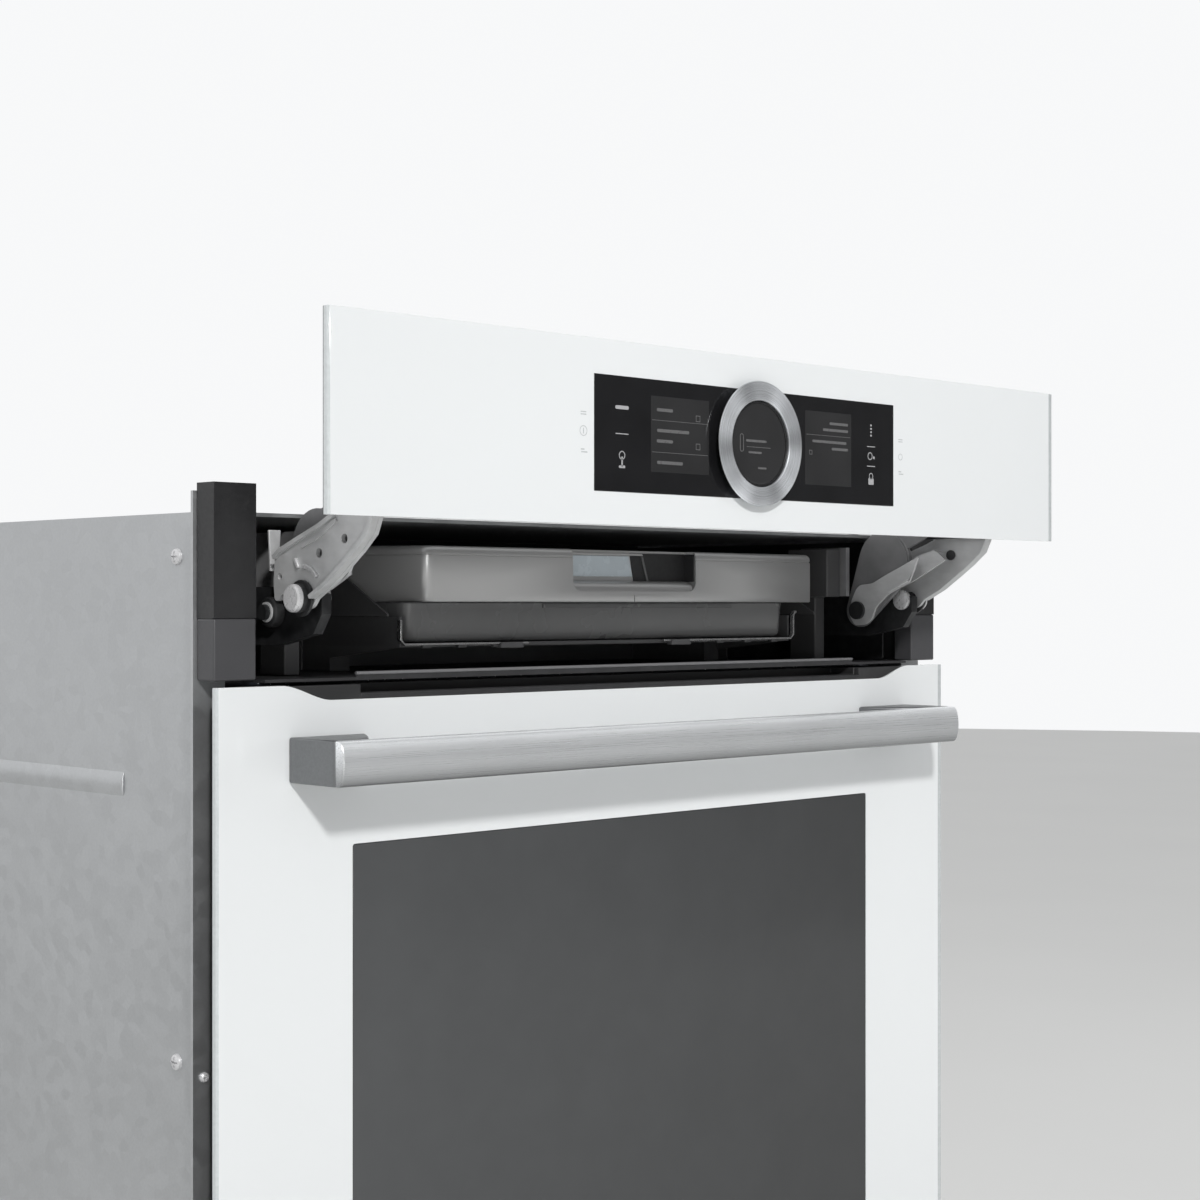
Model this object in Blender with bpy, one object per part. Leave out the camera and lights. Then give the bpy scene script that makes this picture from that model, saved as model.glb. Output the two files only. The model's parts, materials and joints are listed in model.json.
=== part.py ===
"""Built-in wall oven with a motor-raised control panel, a bottom-hinged door and a pull-out water tank.

Sizes are in millimetres and become metres in the meshes. X runs across the front, Y runs into the niche
and Z is up. Depths are written from the door's front plane, heights from the underside of the base.
The object stands with its control panel raised and its door shut.
"""

import math

import bmesh
import bpy
from mathutils import Matrix, Vector

MM = 0.001
GAP = 0.3  # clearance between pieces that touch

# Whole appliance
FRONT_WIDTH = 594.0
FRONT_HALF = FRONT_WIDTH / 2
BODY_HALF = 280.0
BODY_TOP = 582.5
BODY_BACK = 548.5
DOOR_PLANE = -284.5  # world depth of the door's front plane
SHEET = 2.0
GLASS = 4.3
FLANGE_FRONT = 20.5
FLANGE_TOP = 592.0
BASE_FRONT = 34.0
TOP_FRONT = 28.0
SWING_TOP = 12.0  # room in the side panels for the lower edge of the opened door
SWING_BACK = 31.0
FILLER_INNER = 271.5
FILLER_OUTER = 295.0
FILLER_FRONT = 5.5
INLET_LEFT = 150.0
INLET_RIGHT = 210.0
INLET_LOW = 510.0
INLET_HIGH = 545.0

# Door
DOOR_BOTTOM = 8.0
DOOR_TOP = 494.5
DOOR_BACK = 29.7
DOOR_FRAME_HALF = 262.0
HINGE_DEPTH = 16.0
HINGE_HEIGHT = 20.0
HINGE_INNER = 263.0
HINGE_OUTER = 266.0
RAIL_INNER = 246.0
RAIL_TOP = DOOR_TOP - 14.8
RAIL_BOTTOM = 35.0
DOOR_UNDER = 13.0
PANE = 4.0
MIDDLE_PANE_FRONT = 14.0
WINDOW_HALF = 213.0
WINDOW_TOP = DOOR_TOP - 82.9
WINDOW_BOTTOM = 95.0
NOTCH_HALF = 256.0
NOTCH_FLAT_HALF = 228.0
NOTCH_DEPTH = 8.0
SLOT_HALF = 206.0

# Handle
HANDLE_HALF = 254.0
HANDLE_TOP = DOOR_TOP - 26.0
HANDLE_BOTTOM = DOOR_TOP - 49.0
HANDLE_STANDOFF = 45.0
HANDLE_THICK = 7.0
POST_INNER = 205.0

# Cavity
CAVITY_HALF = 240.0
CAVITY_FLOOR = 72.0
CAVITY_CEILING = 429.0
CAVITY_DEPTH = 415.0
FRAME_FRONT = 36.5
CAVITY_FRONT = FRAME_FRONT + SHEET + GAP
CAVITY_BACK = CAVITY_FRONT + CAVITY_DEPTH
LINER = 1.5
WOOL = 14.0
FAN_HEIGHT = 250.0
BAFFLE_HALF = 225.0
BAFFLE_FRONT = CAVITY_BACK - 36.0
RING_HEATER_RADIUS = 95.0
HEATER_TUBE = 3.2
GRILL_HEIGHT = CAVITY_CEILING - 17.0
LAMP = (190.0, 360.0)
LAMP_RADIUS = 30.0
RACK_INNER = 231.0
RACK_OUTER = 236.0
LEDGE_INNER = 222.0
LEDGE_HEIGHTS = (158, 216, 274, 332)
SHELF_HALF = 227.0
SHELF_HEIGHT = 277.5
TRAY_HALF = 221.0
TRAY_RIM_HALF = 228.0
TRAY_FLOOR = 150.0
TRAY_TOP = 164.0

# Compartment behind the control panel
DECK_UNDER = DOOR_TOP + 1.5
DECK_TOP = DECK_UNDER + 1.5
DECK_FRONT = 23.0
LIP_TOP = DOOR_TOP + 6.0
ARM_SLOT = (246.5, 259.0)  # clearance cut in the floor for a lowered arm, across the front
ARM_SLOT_DEPTH = (26.0, 66.0)
BLOWER = (-155.0, 390.0)
BLOWER_WELL = 38.0
BLOWER_RADIUS = 33.0
BLOWER_FLOOR = 506.0
BLOWER_TOP = 552.0
BOILER = (-150.0, 500.0)
BOILER_RADIUS = 34.0

# Control panel, raised
PANEL_HEIGHT = 96.5
PANEL_GAP = 4.0  # between the door and the lowered panel
LIFT_FORWARD = 88.8
LIFT_UP = 78.3
PANEL_FRONT = -LIFT_FORWARD
PANEL_BOTTOM = DOOR_TOP + PANEL_GAP + LIFT_UP
PANEL_TOP = PANEL_BOTTOM + PANEL_HEIGHT
DISPLAY_HALF = 125.3
DISPLAY_HEIGHT = 59.6
DISPLAY_BOTTOM = PANEL_BOTTOM + 18.1
DIAL_HEIGHT = DISPLAY_BOTTOM + DISPLAY_HEIGHT / 2
DIAL_OUTER = 35.5
DIAL_INNER = 24.75
DIAL_PROUD = 8.0

# Lift linkage, raised: pivots as (depth, height)
ARM_FOOT = (-9.0, DOOR_TOP + 44.0)
LINK_FOOT = (21.0, DOOR_TOP + 37.0)
ARM_HEAD = (-58.0, DOOR_TOP + 97.0)
LINK_HEAD = (ARM_HEAD[0] + LINK_FOOT[0] - ARM_FOOT[0], ARM_HEAD[1] + LINK_FOOT[1] - ARM_FOOT[1])
BAR_INNER = 240.0
BAR_OUTER = 246.0
ARM_INNER = 249.0
ARM_OUTER = 251.5
LINK_INNER = 233.0
LINK_OUTER = 236.0
RAIL_FRONT = 74.0
RAIL_BACK = 300.0
CROSSBAR_FRONT = 169.0
SPINDLE_HEIGHT = DOOR_TOP + 36.0
SPINDLE_RADIUS = 4.0
MOTOR_FRONT = 399.5

# Water tank
TANK_FRONT = 26.0
TANK_LEFT = -160.0
TANK_RIGHT = 183.0
TANK_BODY_LEFT = TANK_LEFT + 6
TANK_BODY_RIGHT = TANK_RIGHT - 16
TANK_DEPTH = 125.0
TANK_TOP = DOOR_TOP + 73.5
TANK_SPLIT = DOOR_TOP + 42.0
TANK_UNDER = DOOR_TOP + 20.0
SCOOP_LEFT = -29.5
SCOOP_RIGHT = 76.5
SCOOP_FLOOR = DOOR_TOP + 49.0
SCOOP_DEPTH = 11.0
TANK_WALL = 3.0
LID_CORNER = 14.0
CRADLE_WALL = 1.8

COLOURS = {
    "zinc_sheet": ((0.62, 0.63, 0.64), 0.4, 1.0),
    "arm_steel": ((0.66, 0.67, 0.68), 0.33, 1.0),
    "dark_paint": ((0.05, 0.05, 0.055), 0.5, 0.0),
    "filler_plastic": ((0.09, 0.09, 0.095), 0.5, 0.0),
    "enamel": ((0.03, 0.03, 0.034), 0.22, 0.0),
    "wool": ((0.72, 0.68, 0.55), 0.95, 0.0),
    "rubber": ((0.05, 0.05, 0.05), 0.7, 0.0),
    "white_glass": ((0.86, 0.88, 0.9), 0.08, 0.0),
    "black_glass": ((0.012, 0.012, 0.014), 0.05, 0.0),
    "clear_glass": ((0.6, 0.65, 0.65), 0.04, 0.0),
    "brushed_aluminium": ((0.72, 0.73, 0.75), 0.28, 1.0),
    "chrome_wire": ((0.7, 0.7, 0.71), 0.18, 1.0),
    "heater_steel": ((0.28, 0.27, 0.26), 0.45, 1.0),
    "housing_plastic": ((0.07, 0.07, 0.075), 0.55, 0.0),
    "tank_plastic": ((0.4, 0.4, 0.41), 0.35, 0.0),
    "tank_lower": ((0.13, 0.13, 0.135), 0.4, 0.0),
    "terminal_plastic": ((0.75, 0.74, 0.7), 0.5, 0.0),
}


def make_material(slot):
    colour, roughness, metallic = COLOURS[slot]
    material = bpy.data.materials.new(slot)
    material.use_nodes = True
    shader = material.node_tree.nodes["Principled BSDF"]
    shader.inputs["Base Color"].default_value = (*colour, 1.0)
    shader.inputs["Roughness"].default_value = roughness
    shader.inputs["Metallic"].default_value = metallic
    return material


# ---------------------------------------------------------------- shapes


def to_world(x, depth, height):
    return Vector((x, depth + DOOR_PLANE, height)) * MM


def place(axis, u, v, w):
    """Point from two coordinates across an axis and one along it."""
    if axis == "X":
        return to_world(w, u, v)
    if axis == "Y":
        return to_world(u, w, v)
    return to_world(u, v, w)


def new_object(name, bm):
    bmesh.ops.recalc_face_normals(bm, faces=bm.faces)
    mesh = bpy.data.meshes.new(name)
    bm.to_mesh(mesh)
    bm.free()
    item = bpy.data.objects.new(name, mesh)
    bpy.context.scene.collection.objects.link(item)
    return item


def prism(axis, outline, low, high):
    """Closed extrusion of a flat outline along an axis."""
    bm = bmesh.new()
    ends = [[bm.verts.new(place(axis, u, v, w)) for u, v in outline] for w in (low, high)]
    bm.faces.new(ends[0])
    bm.faces.new(list(reversed(ends[1])))
    count = len(outline)
    for i in range(count):
        j = (i + 1) % count
        bm.faces.new((ends[0][i], ends[0][j], ends[1][j], ends[1][i]))
    return new_object("prism", bm)


def block(x, depth, height):
    """Box from three (low, high) pairs."""
    outline = [(x[0], depth[0]), (x[1], depth[0]), (x[1], depth[1]), (x[0], depth[1])]
    return prism("Z", outline, height[0], height[1])


def circle(centre, radius, count=24):
    turn = 2 * math.pi / count
    return [
        (centre[0] + radius * math.cos(i * turn), centre[1] + radius * math.sin(i * turn))
        for i in range(count)
    ]


def rod(axis, centre, radius, low, high, count=24):
    return prism(axis, circle(centre, radius, count), low, high)


def turned(axis, centre, profile, count=32):
    """Closed solid turned round an axis; profile is (radius, position) pairs from one end to the other."""
    bm = bmesh.new()
    rings = []
    for radius, position in profile:
        if radius == 0:
            rings.append([bm.verts.new(place(axis, centre[0], centre[1], position))])
        else:
            rings.append([bm.verts.new(place(axis, u, v, position)) for u, v in circle(centre, radius, count)])
    pairs = list(zip(rings, rings[1:]))
    if len(rings[0]) > 1:
        pairs.append((rings[-1], rings[0]))
    for a, b in pairs:
        for i in range(count):
            j = (i + 1) % count
            corners = [a[i % len(a)], a[j % len(a)], b[j % len(b)], b[i % len(b)]]
            unique = list(dict.fromkeys(corners))
            bm.faces.new(unique)
    return new_object("turned", bm)


def wire(points, radius, closed=False, sides=2):
    """Round wire along a list of (x, depth, height) points."""
    curve = bpy.data.curves.new("wire", "CURVE")
    curve.dimensions = "3D"
    curve.bevel_depth = radius * MM
    curve.bevel_resolution = sides
    curve.use_fill_caps = True
    spline = curve.splines.new("POLY")
    spline.points.add(len(points) - 1)
    for point, place_at in zip(spline.points, points):
        point.co = (*to_world(*place_at), 1.0)
    spline.use_cyclic_u = closed
    guide = bpy.data.objects.new("wire", curve)
    bpy.context.scene.collection.objects.link(guide)
    bpy.context.view_layer.update()
    graph = bpy.context.evaluated_depsgraph_get()
    bm = bmesh.new()
    bm.from_mesh(guide.evaluated_get(graph).to_mesh())
    bmesh.ops.remove_doubles(bm, verts=bm.verts, dist=0.000001)
    bpy.data.objects.remove(guide)
    return new_object("wire", bm)


def rounded(u, v, radius, corners=(1, 1, 1, 1), steps=5):
    """Rectangle outline from two (low, high) pairs, with a radius on the chosen corners."""
    centres = [
        (u[1] - radius, v[0] + radius, -90),
        (u[1] - radius, v[1] - radius, 0),
        (u[0] + radius, v[1] - radius, 90),
        (u[0] + radius, v[0] + radius, 180),
    ]
    sharp = [(u[1], v[0]), (u[1], v[1]), (u[0], v[1]), (u[0], v[0])]
    outline = []
    for (cu, cv, start), corner, use in zip(centres, sharp, corners):
        if not use:
            outline.append(corner)
            continue
        for step in range(steps + 1):
            angle = math.radians(start + 90 * step / steps)
            outline.append((cu + radius * math.cos(angle), cv + radius * math.sin(angle)))
    return outline


def hull(discs, count=24):
    """Convex outline round a set of (centre, radius) discs."""
    points = sorted({p for centre, radius in discs for p in circle(centre, radius, count)})

    def half(sequence):
        chain = []
        for p in sequence:
            while len(chain) > 1:
                a, b = chain[-2], chain[-1]
                if (b[0] - a[0]) * (p[1] - a[1]) - (b[1] - a[1]) * (p[0] - a[0]) > 0.02:
                    break
                chain.pop()
            chain.append(p)
        return chain[:-1]

    return half(points) + half(reversed(points))


def combine(item, tool, operation):
    modifier = item.modifiers.new("combine", "BOOLEAN")
    modifier.operation = operation
    modifier.solver = "EXACT"
    modifier.object = tool
    bpy.context.view_layer.update()
    graph = bpy.context.evaluated_depsgraph_get()
    mesh = bpy.data.meshes.new_from_object(item.evaluated_get(graph))
    item.modifiers.clear()
    item.data = mesh
    bpy.data.objects.remove(tool)
    return item


def merged(tools):
    """Several separate cutters as one object."""
    bm = bmesh.new()
    for tool in tools:
        bm.from_mesh(tool.data)
        bpy.data.objects.remove(tool)
    return new_object("merged", bm)


def less(item, *tools):
    return combine(item, merged(tools), "DIFFERENCE")


def plus(item, *tools):
    for tool in tools:
        combine(item, tool, "UNION")
    return item


def finish(name, item, slot, pivot=None, bevel=0.0):
    """Name a piece, give it its material, and put its origin on its joint's axis."""
    item.name = name
    item.data.name = name
    item.data.materials.clear()
    item.data.materials.append(MATERIALS[slot])
    if bevel:
        edge = item.modifiers.new("edge", "BEVEL")
        edge.width = bevel * MM
        edge.segments = 1
        edge.limit_method = "ANGLE"
        edge.angle_limit = math.radians(50)
    item.data.shade_smooth()
    item.data.set_sharp_from_angle(angle=math.radians(35))
    if pivot is not None:
        origin = to_world(*pivot)
        item.data.transform(Matrix.Translation(-origin))
        item.location = origin
    return item


def both_sides(name, build, slot, **options):
    """Build a piece for the right side and again, mirrored, for the left."""
    for side, label in ((1, "right"), (-1, "left")):
        finish(f"{name}_{label}", build(side), slot, **options)


def span(side, inner, outer):
    """Range across X on one side of the centre."""
    return tuple(sorted((side * inner, side * outer)))


# ---------------------------------------------------------------- chassis


def build_chassis():
    inner = BODY_HALF - SHEET - GAP
    finish("chassis_base", block((-inner, inner), (BASE_FRONT, BODY_BACK), (0, SHEET)), "zinc_sheet")

    def side_panel(side):
        outline = [
            (SWING_BACK, 0),
            (BODY_BACK, 0),
            (BODY_BACK, BODY_TOP),
            (FLANGE_FRONT, BODY_TOP),
            (FLANGE_FRONT, SWING_TOP),
            (SWING_BACK, SWING_TOP),
        ]
        wall = prism("X", outline, *span(side, BODY_HALF - SHEET, BODY_HALF))
        flange = block(
            span(side, BODY_HALF - SHEET, FRONT_HALF), (FLANGE_FRONT, FLANGE_FRONT + SHEET), (SWING_TOP, FLANGE_TOP)
        )
        return plus(wall, flange)

    both_sides("side_panel", side_panel, "zinc_sheet")

    back = block((-inner, inner), (BODY_BACK - SHEET, BODY_BACK), (SHEET + GAP, BODY_TOP - SHEET - GAP))
    louvres = [
        block((x, x + 60), (BODY_BACK - 10, BODY_BACK + 10), (height, height + 5))
        for x in (-220, -130)
        for height in (515, 530, 545, 560)
    ]
    inlet = block((INLET_LEFT, INLET_RIGHT), (BODY_BACK - 10, BODY_BACK + 10), (INLET_LOW, INLET_HIGH))
    finish("back_panel", less(back, inlet, *louvres), "zinc_sheet")

    top = block((-inner, inner), (TOP_FRONT, BODY_BACK), (BODY_TOP - SHEET, BODY_TOP))
    slots = [block((x, x + 8), (370, 440), (BODY_TOP - 10, BODY_TOP + 10)) for x in range(-210, -90, 20)]
    finish("top_cover", less(top, *slots), "zinc_sheet")

    frame = block((-inner, inner), (FRAME_FRONT, FRAME_FRONT + SHEET), (14, DECK_UNDER - GAP))
    mouth = prism(
        "Y", rounded((-239.9, 239.9), (CAVITY_FLOOR + 0.1, CAVITY_CEILING - 0.1), 12), FRAME_FRONT - 5, FRAME_FRONT + 9
    )
    vents = [
        block((x, x + 44), (FRAME_FRONT - 5, FRAME_FRONT + 9), (474, 488)) for x in range(-206, 200, 52)
    ]
    finish("front_frame", less(frame, mouth, *vents), "enamel")

    deck = block((-inner, inner), (DECK_FRONT, BODY_BACK - SHEET - GAP), (DECK_UNDER, DECK_TOP))
    tongue = block((-264, 264), (6, 30), (DECK_UNDER, DECK_TOP))
    lip = block((-SLOT_HALF, SLOT_HALF), (6, 7.2), (DECK_UNDER, LIP_TOP))
    arm_slots = [block(span(side, *ARM_SLOT), ARM_SLOT_DEPTH, (DECK_UNDER - 5, DECK_TOP + 5)) for side in (1, -1)]
    finish("compartment_deck", less(plus(deck, tongue, lip), *arm_slots), "dark_paint")

    def filler(side):
        return block(
            span(side, FILLER_INNER, FILLER_OUTER), (FILLER_FRONT, FLANGE_FRONT - GAP), (DOOR_TOP + 3, DOOR_TOP + 98)
        )

    both_sides("side_filler", filler, "filler_plastic", bevel=0.8)

    def hinge(side):
        arm = prism(
            "X",
            [(16, 14), (FRAME_FRONT - GAP, 14), (FRAME_FRONT - GAP, 44), (30, 44), (22, 26), (16, 26)],
            *span(side, HINGE_INNER, HINGE_OUTER),
        )
        eye = rod("X", (HINGE_DEPTH, HINGE_HEIGHT), 6, *span(side, HINGE_INNER, HINGE_OUTER), count=20)
        pin = rod("X", (HINGE_DEPTH, HINGE_HEIGHT), 3, *span(side, 250, HINGE_OUTER - 1), count=16)
        return plus(arm, eye, pin)

    both_sides("door_hinge", hinge, "heater_steel")

    terminal = block(
        (INLET_LEFT + 0.5, INLET_RIGHT - 0.5), (525, BODY_BACK - 0.2), (INLET_LOW + 0.5, INLET_HIGH - 0.5)
    )
    wells = [
        block((x, x + 9), (BODY_BACK - 14, BODY_BACK + 4), (518, 537)) for x in (156, 170, 184, 198)
    ]
    finish("terminal_block", less(terminal, *wells), "terminal_plastic")


# ---------------------------------------------------------------- cavity and heating


def open_box(half, depth, height, wall):
    """Box open at its front, with walls of one thickness outside the given inner size."""
    outer = block((-half - wall, half + wall), (depth[0], depth[1] + wall), (height[0] - wall, height[1] + wall))
    return less(outer, block((-half, half), (depth[0] - 20, depth[1]), height))


def build_cavity():
    height = (CAVITY_FLOOR, CAVITY_CEILING)
    liner = open_box(CAVITY_HALF, (CAVITY_FRONT, CAVITY_BACK), height, LINER)
    shaft_way = rod("Y", (0, FAN_HEIGHT), 8, CAVITY_BACK - 5, CAVITY_BACK + 10)
    finish("cavity_liner", less(liner, shaft_way), "enamel")

    room = LINER + GAP
    wool = open_box(
        CAVITY_HALF + room,
        (CAVITY_FRONT, CAVITY_BACK + room),
        (height[0] - room, height[1] + room),
        WOOL,
    )
    finish("insulation_wrap", less(wool, rod("Y", (0, FAN_HEIGHT), 12, CAVITY_BACK, CAVITY_BACK + 40)), "wool")

    gasket = prism("Y", rounded((-251, 251), (61, 440), 18), DOOR_BACK + 0.5, FRAME_FRONT - GAP)
    inside = prism("Y", rounded((-243, 243), (69, 432), 12), DOOR_BACK - 5, FRAME_FRONT + 5)
    finish("door_gasket", less(gasket, inside), "rubber", bevel=1.5)

    baffle = block((-BAFFLE_HALF, BAFFLE_HALF), (BAFFLE_FRONT, BAFFLE_FRONT + 1.5), (90, 410))
    grille = [
        rod("Y", (ring * math.cos(a), FAN_HEIGHT + ring * math.sin(a)), 6, BAFFLE_FRONT - 5, BAFFLE_FRONT + 5, 10)
        for ring, count in ((0, 1), (20, 6), (40, 12))
        for a in [2 * math.pi * i / count for i in range(count)]
    ]
    slots = [
        block(span(side, x, x + 8), (BAFFLE_FRONT - 5, BAFFLE_FRONT + 5), (low, low + 60))
        for side in (1, -1)
        for x in (150, 170, 190)
        for low in (110, 220, 330)
    ]
    finish("fan_baffle", less(baffle, *grille, *slots), "enamel")

    turn = [2 * math.pi * i / 36 for i in range(36)]
    ring = [
        (RING_HEATER_RADIUS * math.cos(a), CAVITY_BACK - 20, FAN_HEIGHT + RING_HEATER_RADIUS * math.sin(a))
        for a in turn
    ]
    finish("ring_heater", wire(ring, HEATER_TUBE, closed=True), "heater_steel")

    path = []
    for i, x in enumerate((-170, -102, -34, 34, 102, 170)):
        ends = (410, 120) if i % 2 == 0 else (120, 410)
        if i in (0, 5):
            path += [(x, d, GRILL_HEIGHT) for d in ends]
            continue
        first, last = (ends[0], 330) if ends[0] == 120 else (330, ends[1])
        path += [(x, first, GRILL_HEIGHT), (x, last, GRILL_HEIGHT)]
    finish("grill_heater", wire(smooth_corners(path, 24), HEATER_TUBE), "heater_steel")

    rim = CAVITY_CEILING - 0.4
    lens = turned("Z", LAMP, [(0, 416), (20, 417), (28, 421), (LAMP_RADIUS, rim), (0, rim)])
    finish("oven_lamp", lens, "clear_glass")

    motor = turned(
        "Y",
        (0, FAN_HEIGHT),
        [(0, 540), (38, 540), (42, 536), (42, 505), (36, 500), (36, 475), (4.6, 475), (4.6, 500), (0, 500)],
    )
    finish("fan_motor", motor, "zinc_sheet")


def smooth_corners(points, radius, steps=5):
    """Replace each corner of a path with an arc-like blend of the given reach."""
    path = [Vector(points[0])]
    for before, corner, after in zip(points, points[1:], points[2:]):
        before, corner, after = Vector(before), Vector(corner), Vector(after)
        reach = min(radius, (corner - before).length / 2, (after - corner).length / 2)
        start = corner + (before - corner).normalized() * reach
        end = corner + (after - corner).normalized() * reach
        for step in range(steps + 1):
            t = step / steps
            path.append((1 - t) ** 2 * start + 2 * t * (1 - t) * corner + t**2 * end)
    path.append(Vector(points[-1]))
    kept = [path[0]]
    for point in path[1:]:
        if (point - kept[-1]).length > 0.5:
            kept.append(point)
    return [tuple(p) for p in kept]


def build_racks():
    def side_rack(side):
        plate = block(span(side, RACK_INNER, RACK_OUTER), (60, 410), (100, 400))
        windows = [
            block(span(side, 225, 245), (first, first + 78), (low, low + 46))
            for first in (68, 153, 238, 323)
            for low in (108, 166, 224, 282, 340)
        ]
        ledges = [
            block(span(side, LEDGE_INNER, RACK_INNER + 1), (62, 408), (height, height + 3)) for height in LEDGE_HEIGHTS
        ]
        return plus(less(plate, *windows), *ledges)

    both_sides("side_rack", side_rack, "chrome_wire")

    shelf = block((-SHELF_HALF, SHELF_HALF), (66, 404), (SHELF_HEIGHT, SHELF_HEIGHT + 5))
    gaps = [
        block((x, x + 31), (first, first + 158), (270, 290))
        for x in range(-219, 200, 37)
        for first in (74, 240)
    ]
    finish("wire_shelf", less(shelf, *gaps), "chrome_wire")

    tray = block((-TRAY_HALF, TRAY_HALF), (70, 400), (TRAY_FLOOR, TRAY_TOP))
    rim = block((-TRAY_RIM_HALF, TRAY_RIM_HALF), (63, 407), (TRAY_TOP - 2.5, TRAY_TOP))
    bowl = block((2 - TRAY_HALF, TRAY_HALF - 2), (72, 398), (TRAY_FLOOR + 2, TRAY_TOP + 16))
    finish("baking_tray", less(plus(tray, rim), bowl), "enamel")


def build_fans():
    disc = turned(
        "Y",
        (0, FAN_HEIGHT),
        [(0, 424), (12, 424), (12, 442), (70, 442), (70, 444), (12, 444), (4, 446), (4, 498), (0, 498)],
    )
    for i in range(8):
        blade = block((14, 68), (426, 443), (FAN_HEIGHT - 1, FAN_HEIGHT + 1))
        centre = to_world(0, 434, FAN_HEIGHT)
        spin = Matrix.Rotation(2 * math.pi * i / 8 + 0.2, 4, "Y")
        blade.data.transform(Matrix.Translation(centre) @ spin @ Matrix.Translation(-centre))
        plus(disc, blade)
    finish("fan_impeller", disc, "zinc_sheet", pivot=(0, 434, FAN_HEIGHT))

    housing = block((-240, -70), (340, 440), (DECK_TOP + GAP, 560))
    well = rod("Z", BLOWER, BLOWER_WELL, DECK_TOP + 4, 570, 32)
    less(housing, well)
    outlet = block((-180, -130), (330, 380), (DECK_TOP + 6, 550))
    finish("blower_housing", less(housing, outlet), "housing_plastic")

    inner = BLOWER_RADIUS - 4
    rotor = turned(
        "Z",
        BLOWER,
        [
            (0, BLOWER_FLOOR),
            (BLOWER_RADIUS, BLOWER_FLOOR),
            (BLOWER_RADIUS, BLOWER_TOP),
            (inner, BLOWER_TOP),
            (inner, BLOWER_FLOOR + 3),
            (10, BLOWER_FLOOR + 3),
            (8, BLOWER_FLOOR + 24),
            (0, BLOWER_FLOOR + 24),
        ],
    )
    slits = []
    for i in range(12):
        slit = block(
            (BLOWER[0] + 25, BLOWER[0] + 40), (BLOWER[1] - 2.5, BLOWER[1] + 2.5), (BLOWER_FLOOR + 7, BLOWER_TOP - 6)
        )
        centre = to_world(*BLOWER, BLOWER_FLOOR)
        spin = Matrix.Rotation(2 * math.pi * i / 12, 4, "Z")
        slit.data.transform(Matrix.Translation(centre) @ spin @ Matrix.Translation(-centre))
        slits.append(slit)
    finish("blower_rotor", less(rotor, *slits), "housing_plastic", pivot=(*BLOWER, 530))

    module = block((70, 250), (320, 480), (DECK_TOP + GAP, 548))
    heat_sink = [block((x, x + 3), (330, 420), (540, 556)) for x in range(90, 150, 9)]
    finish("power_module", plus(module, *heat_sink), "housing_plastic")
    boiler = turned(
        "Z",
        BOILER,
        [
            (0, DECK_TOP + GAP),
            (BOILER_RADIUS, DECK_TOP + GAP),
            (BOILER_RADIUS, 548),
            (BOILER_RADIUS - 6, 556),
            (8, 558),
            (8, 566),
            (0, 566),
        ],
    )
    finish("steam_generator", boiler, "zinc_sheet")


# ---------------------------------------------------------------- door


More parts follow.
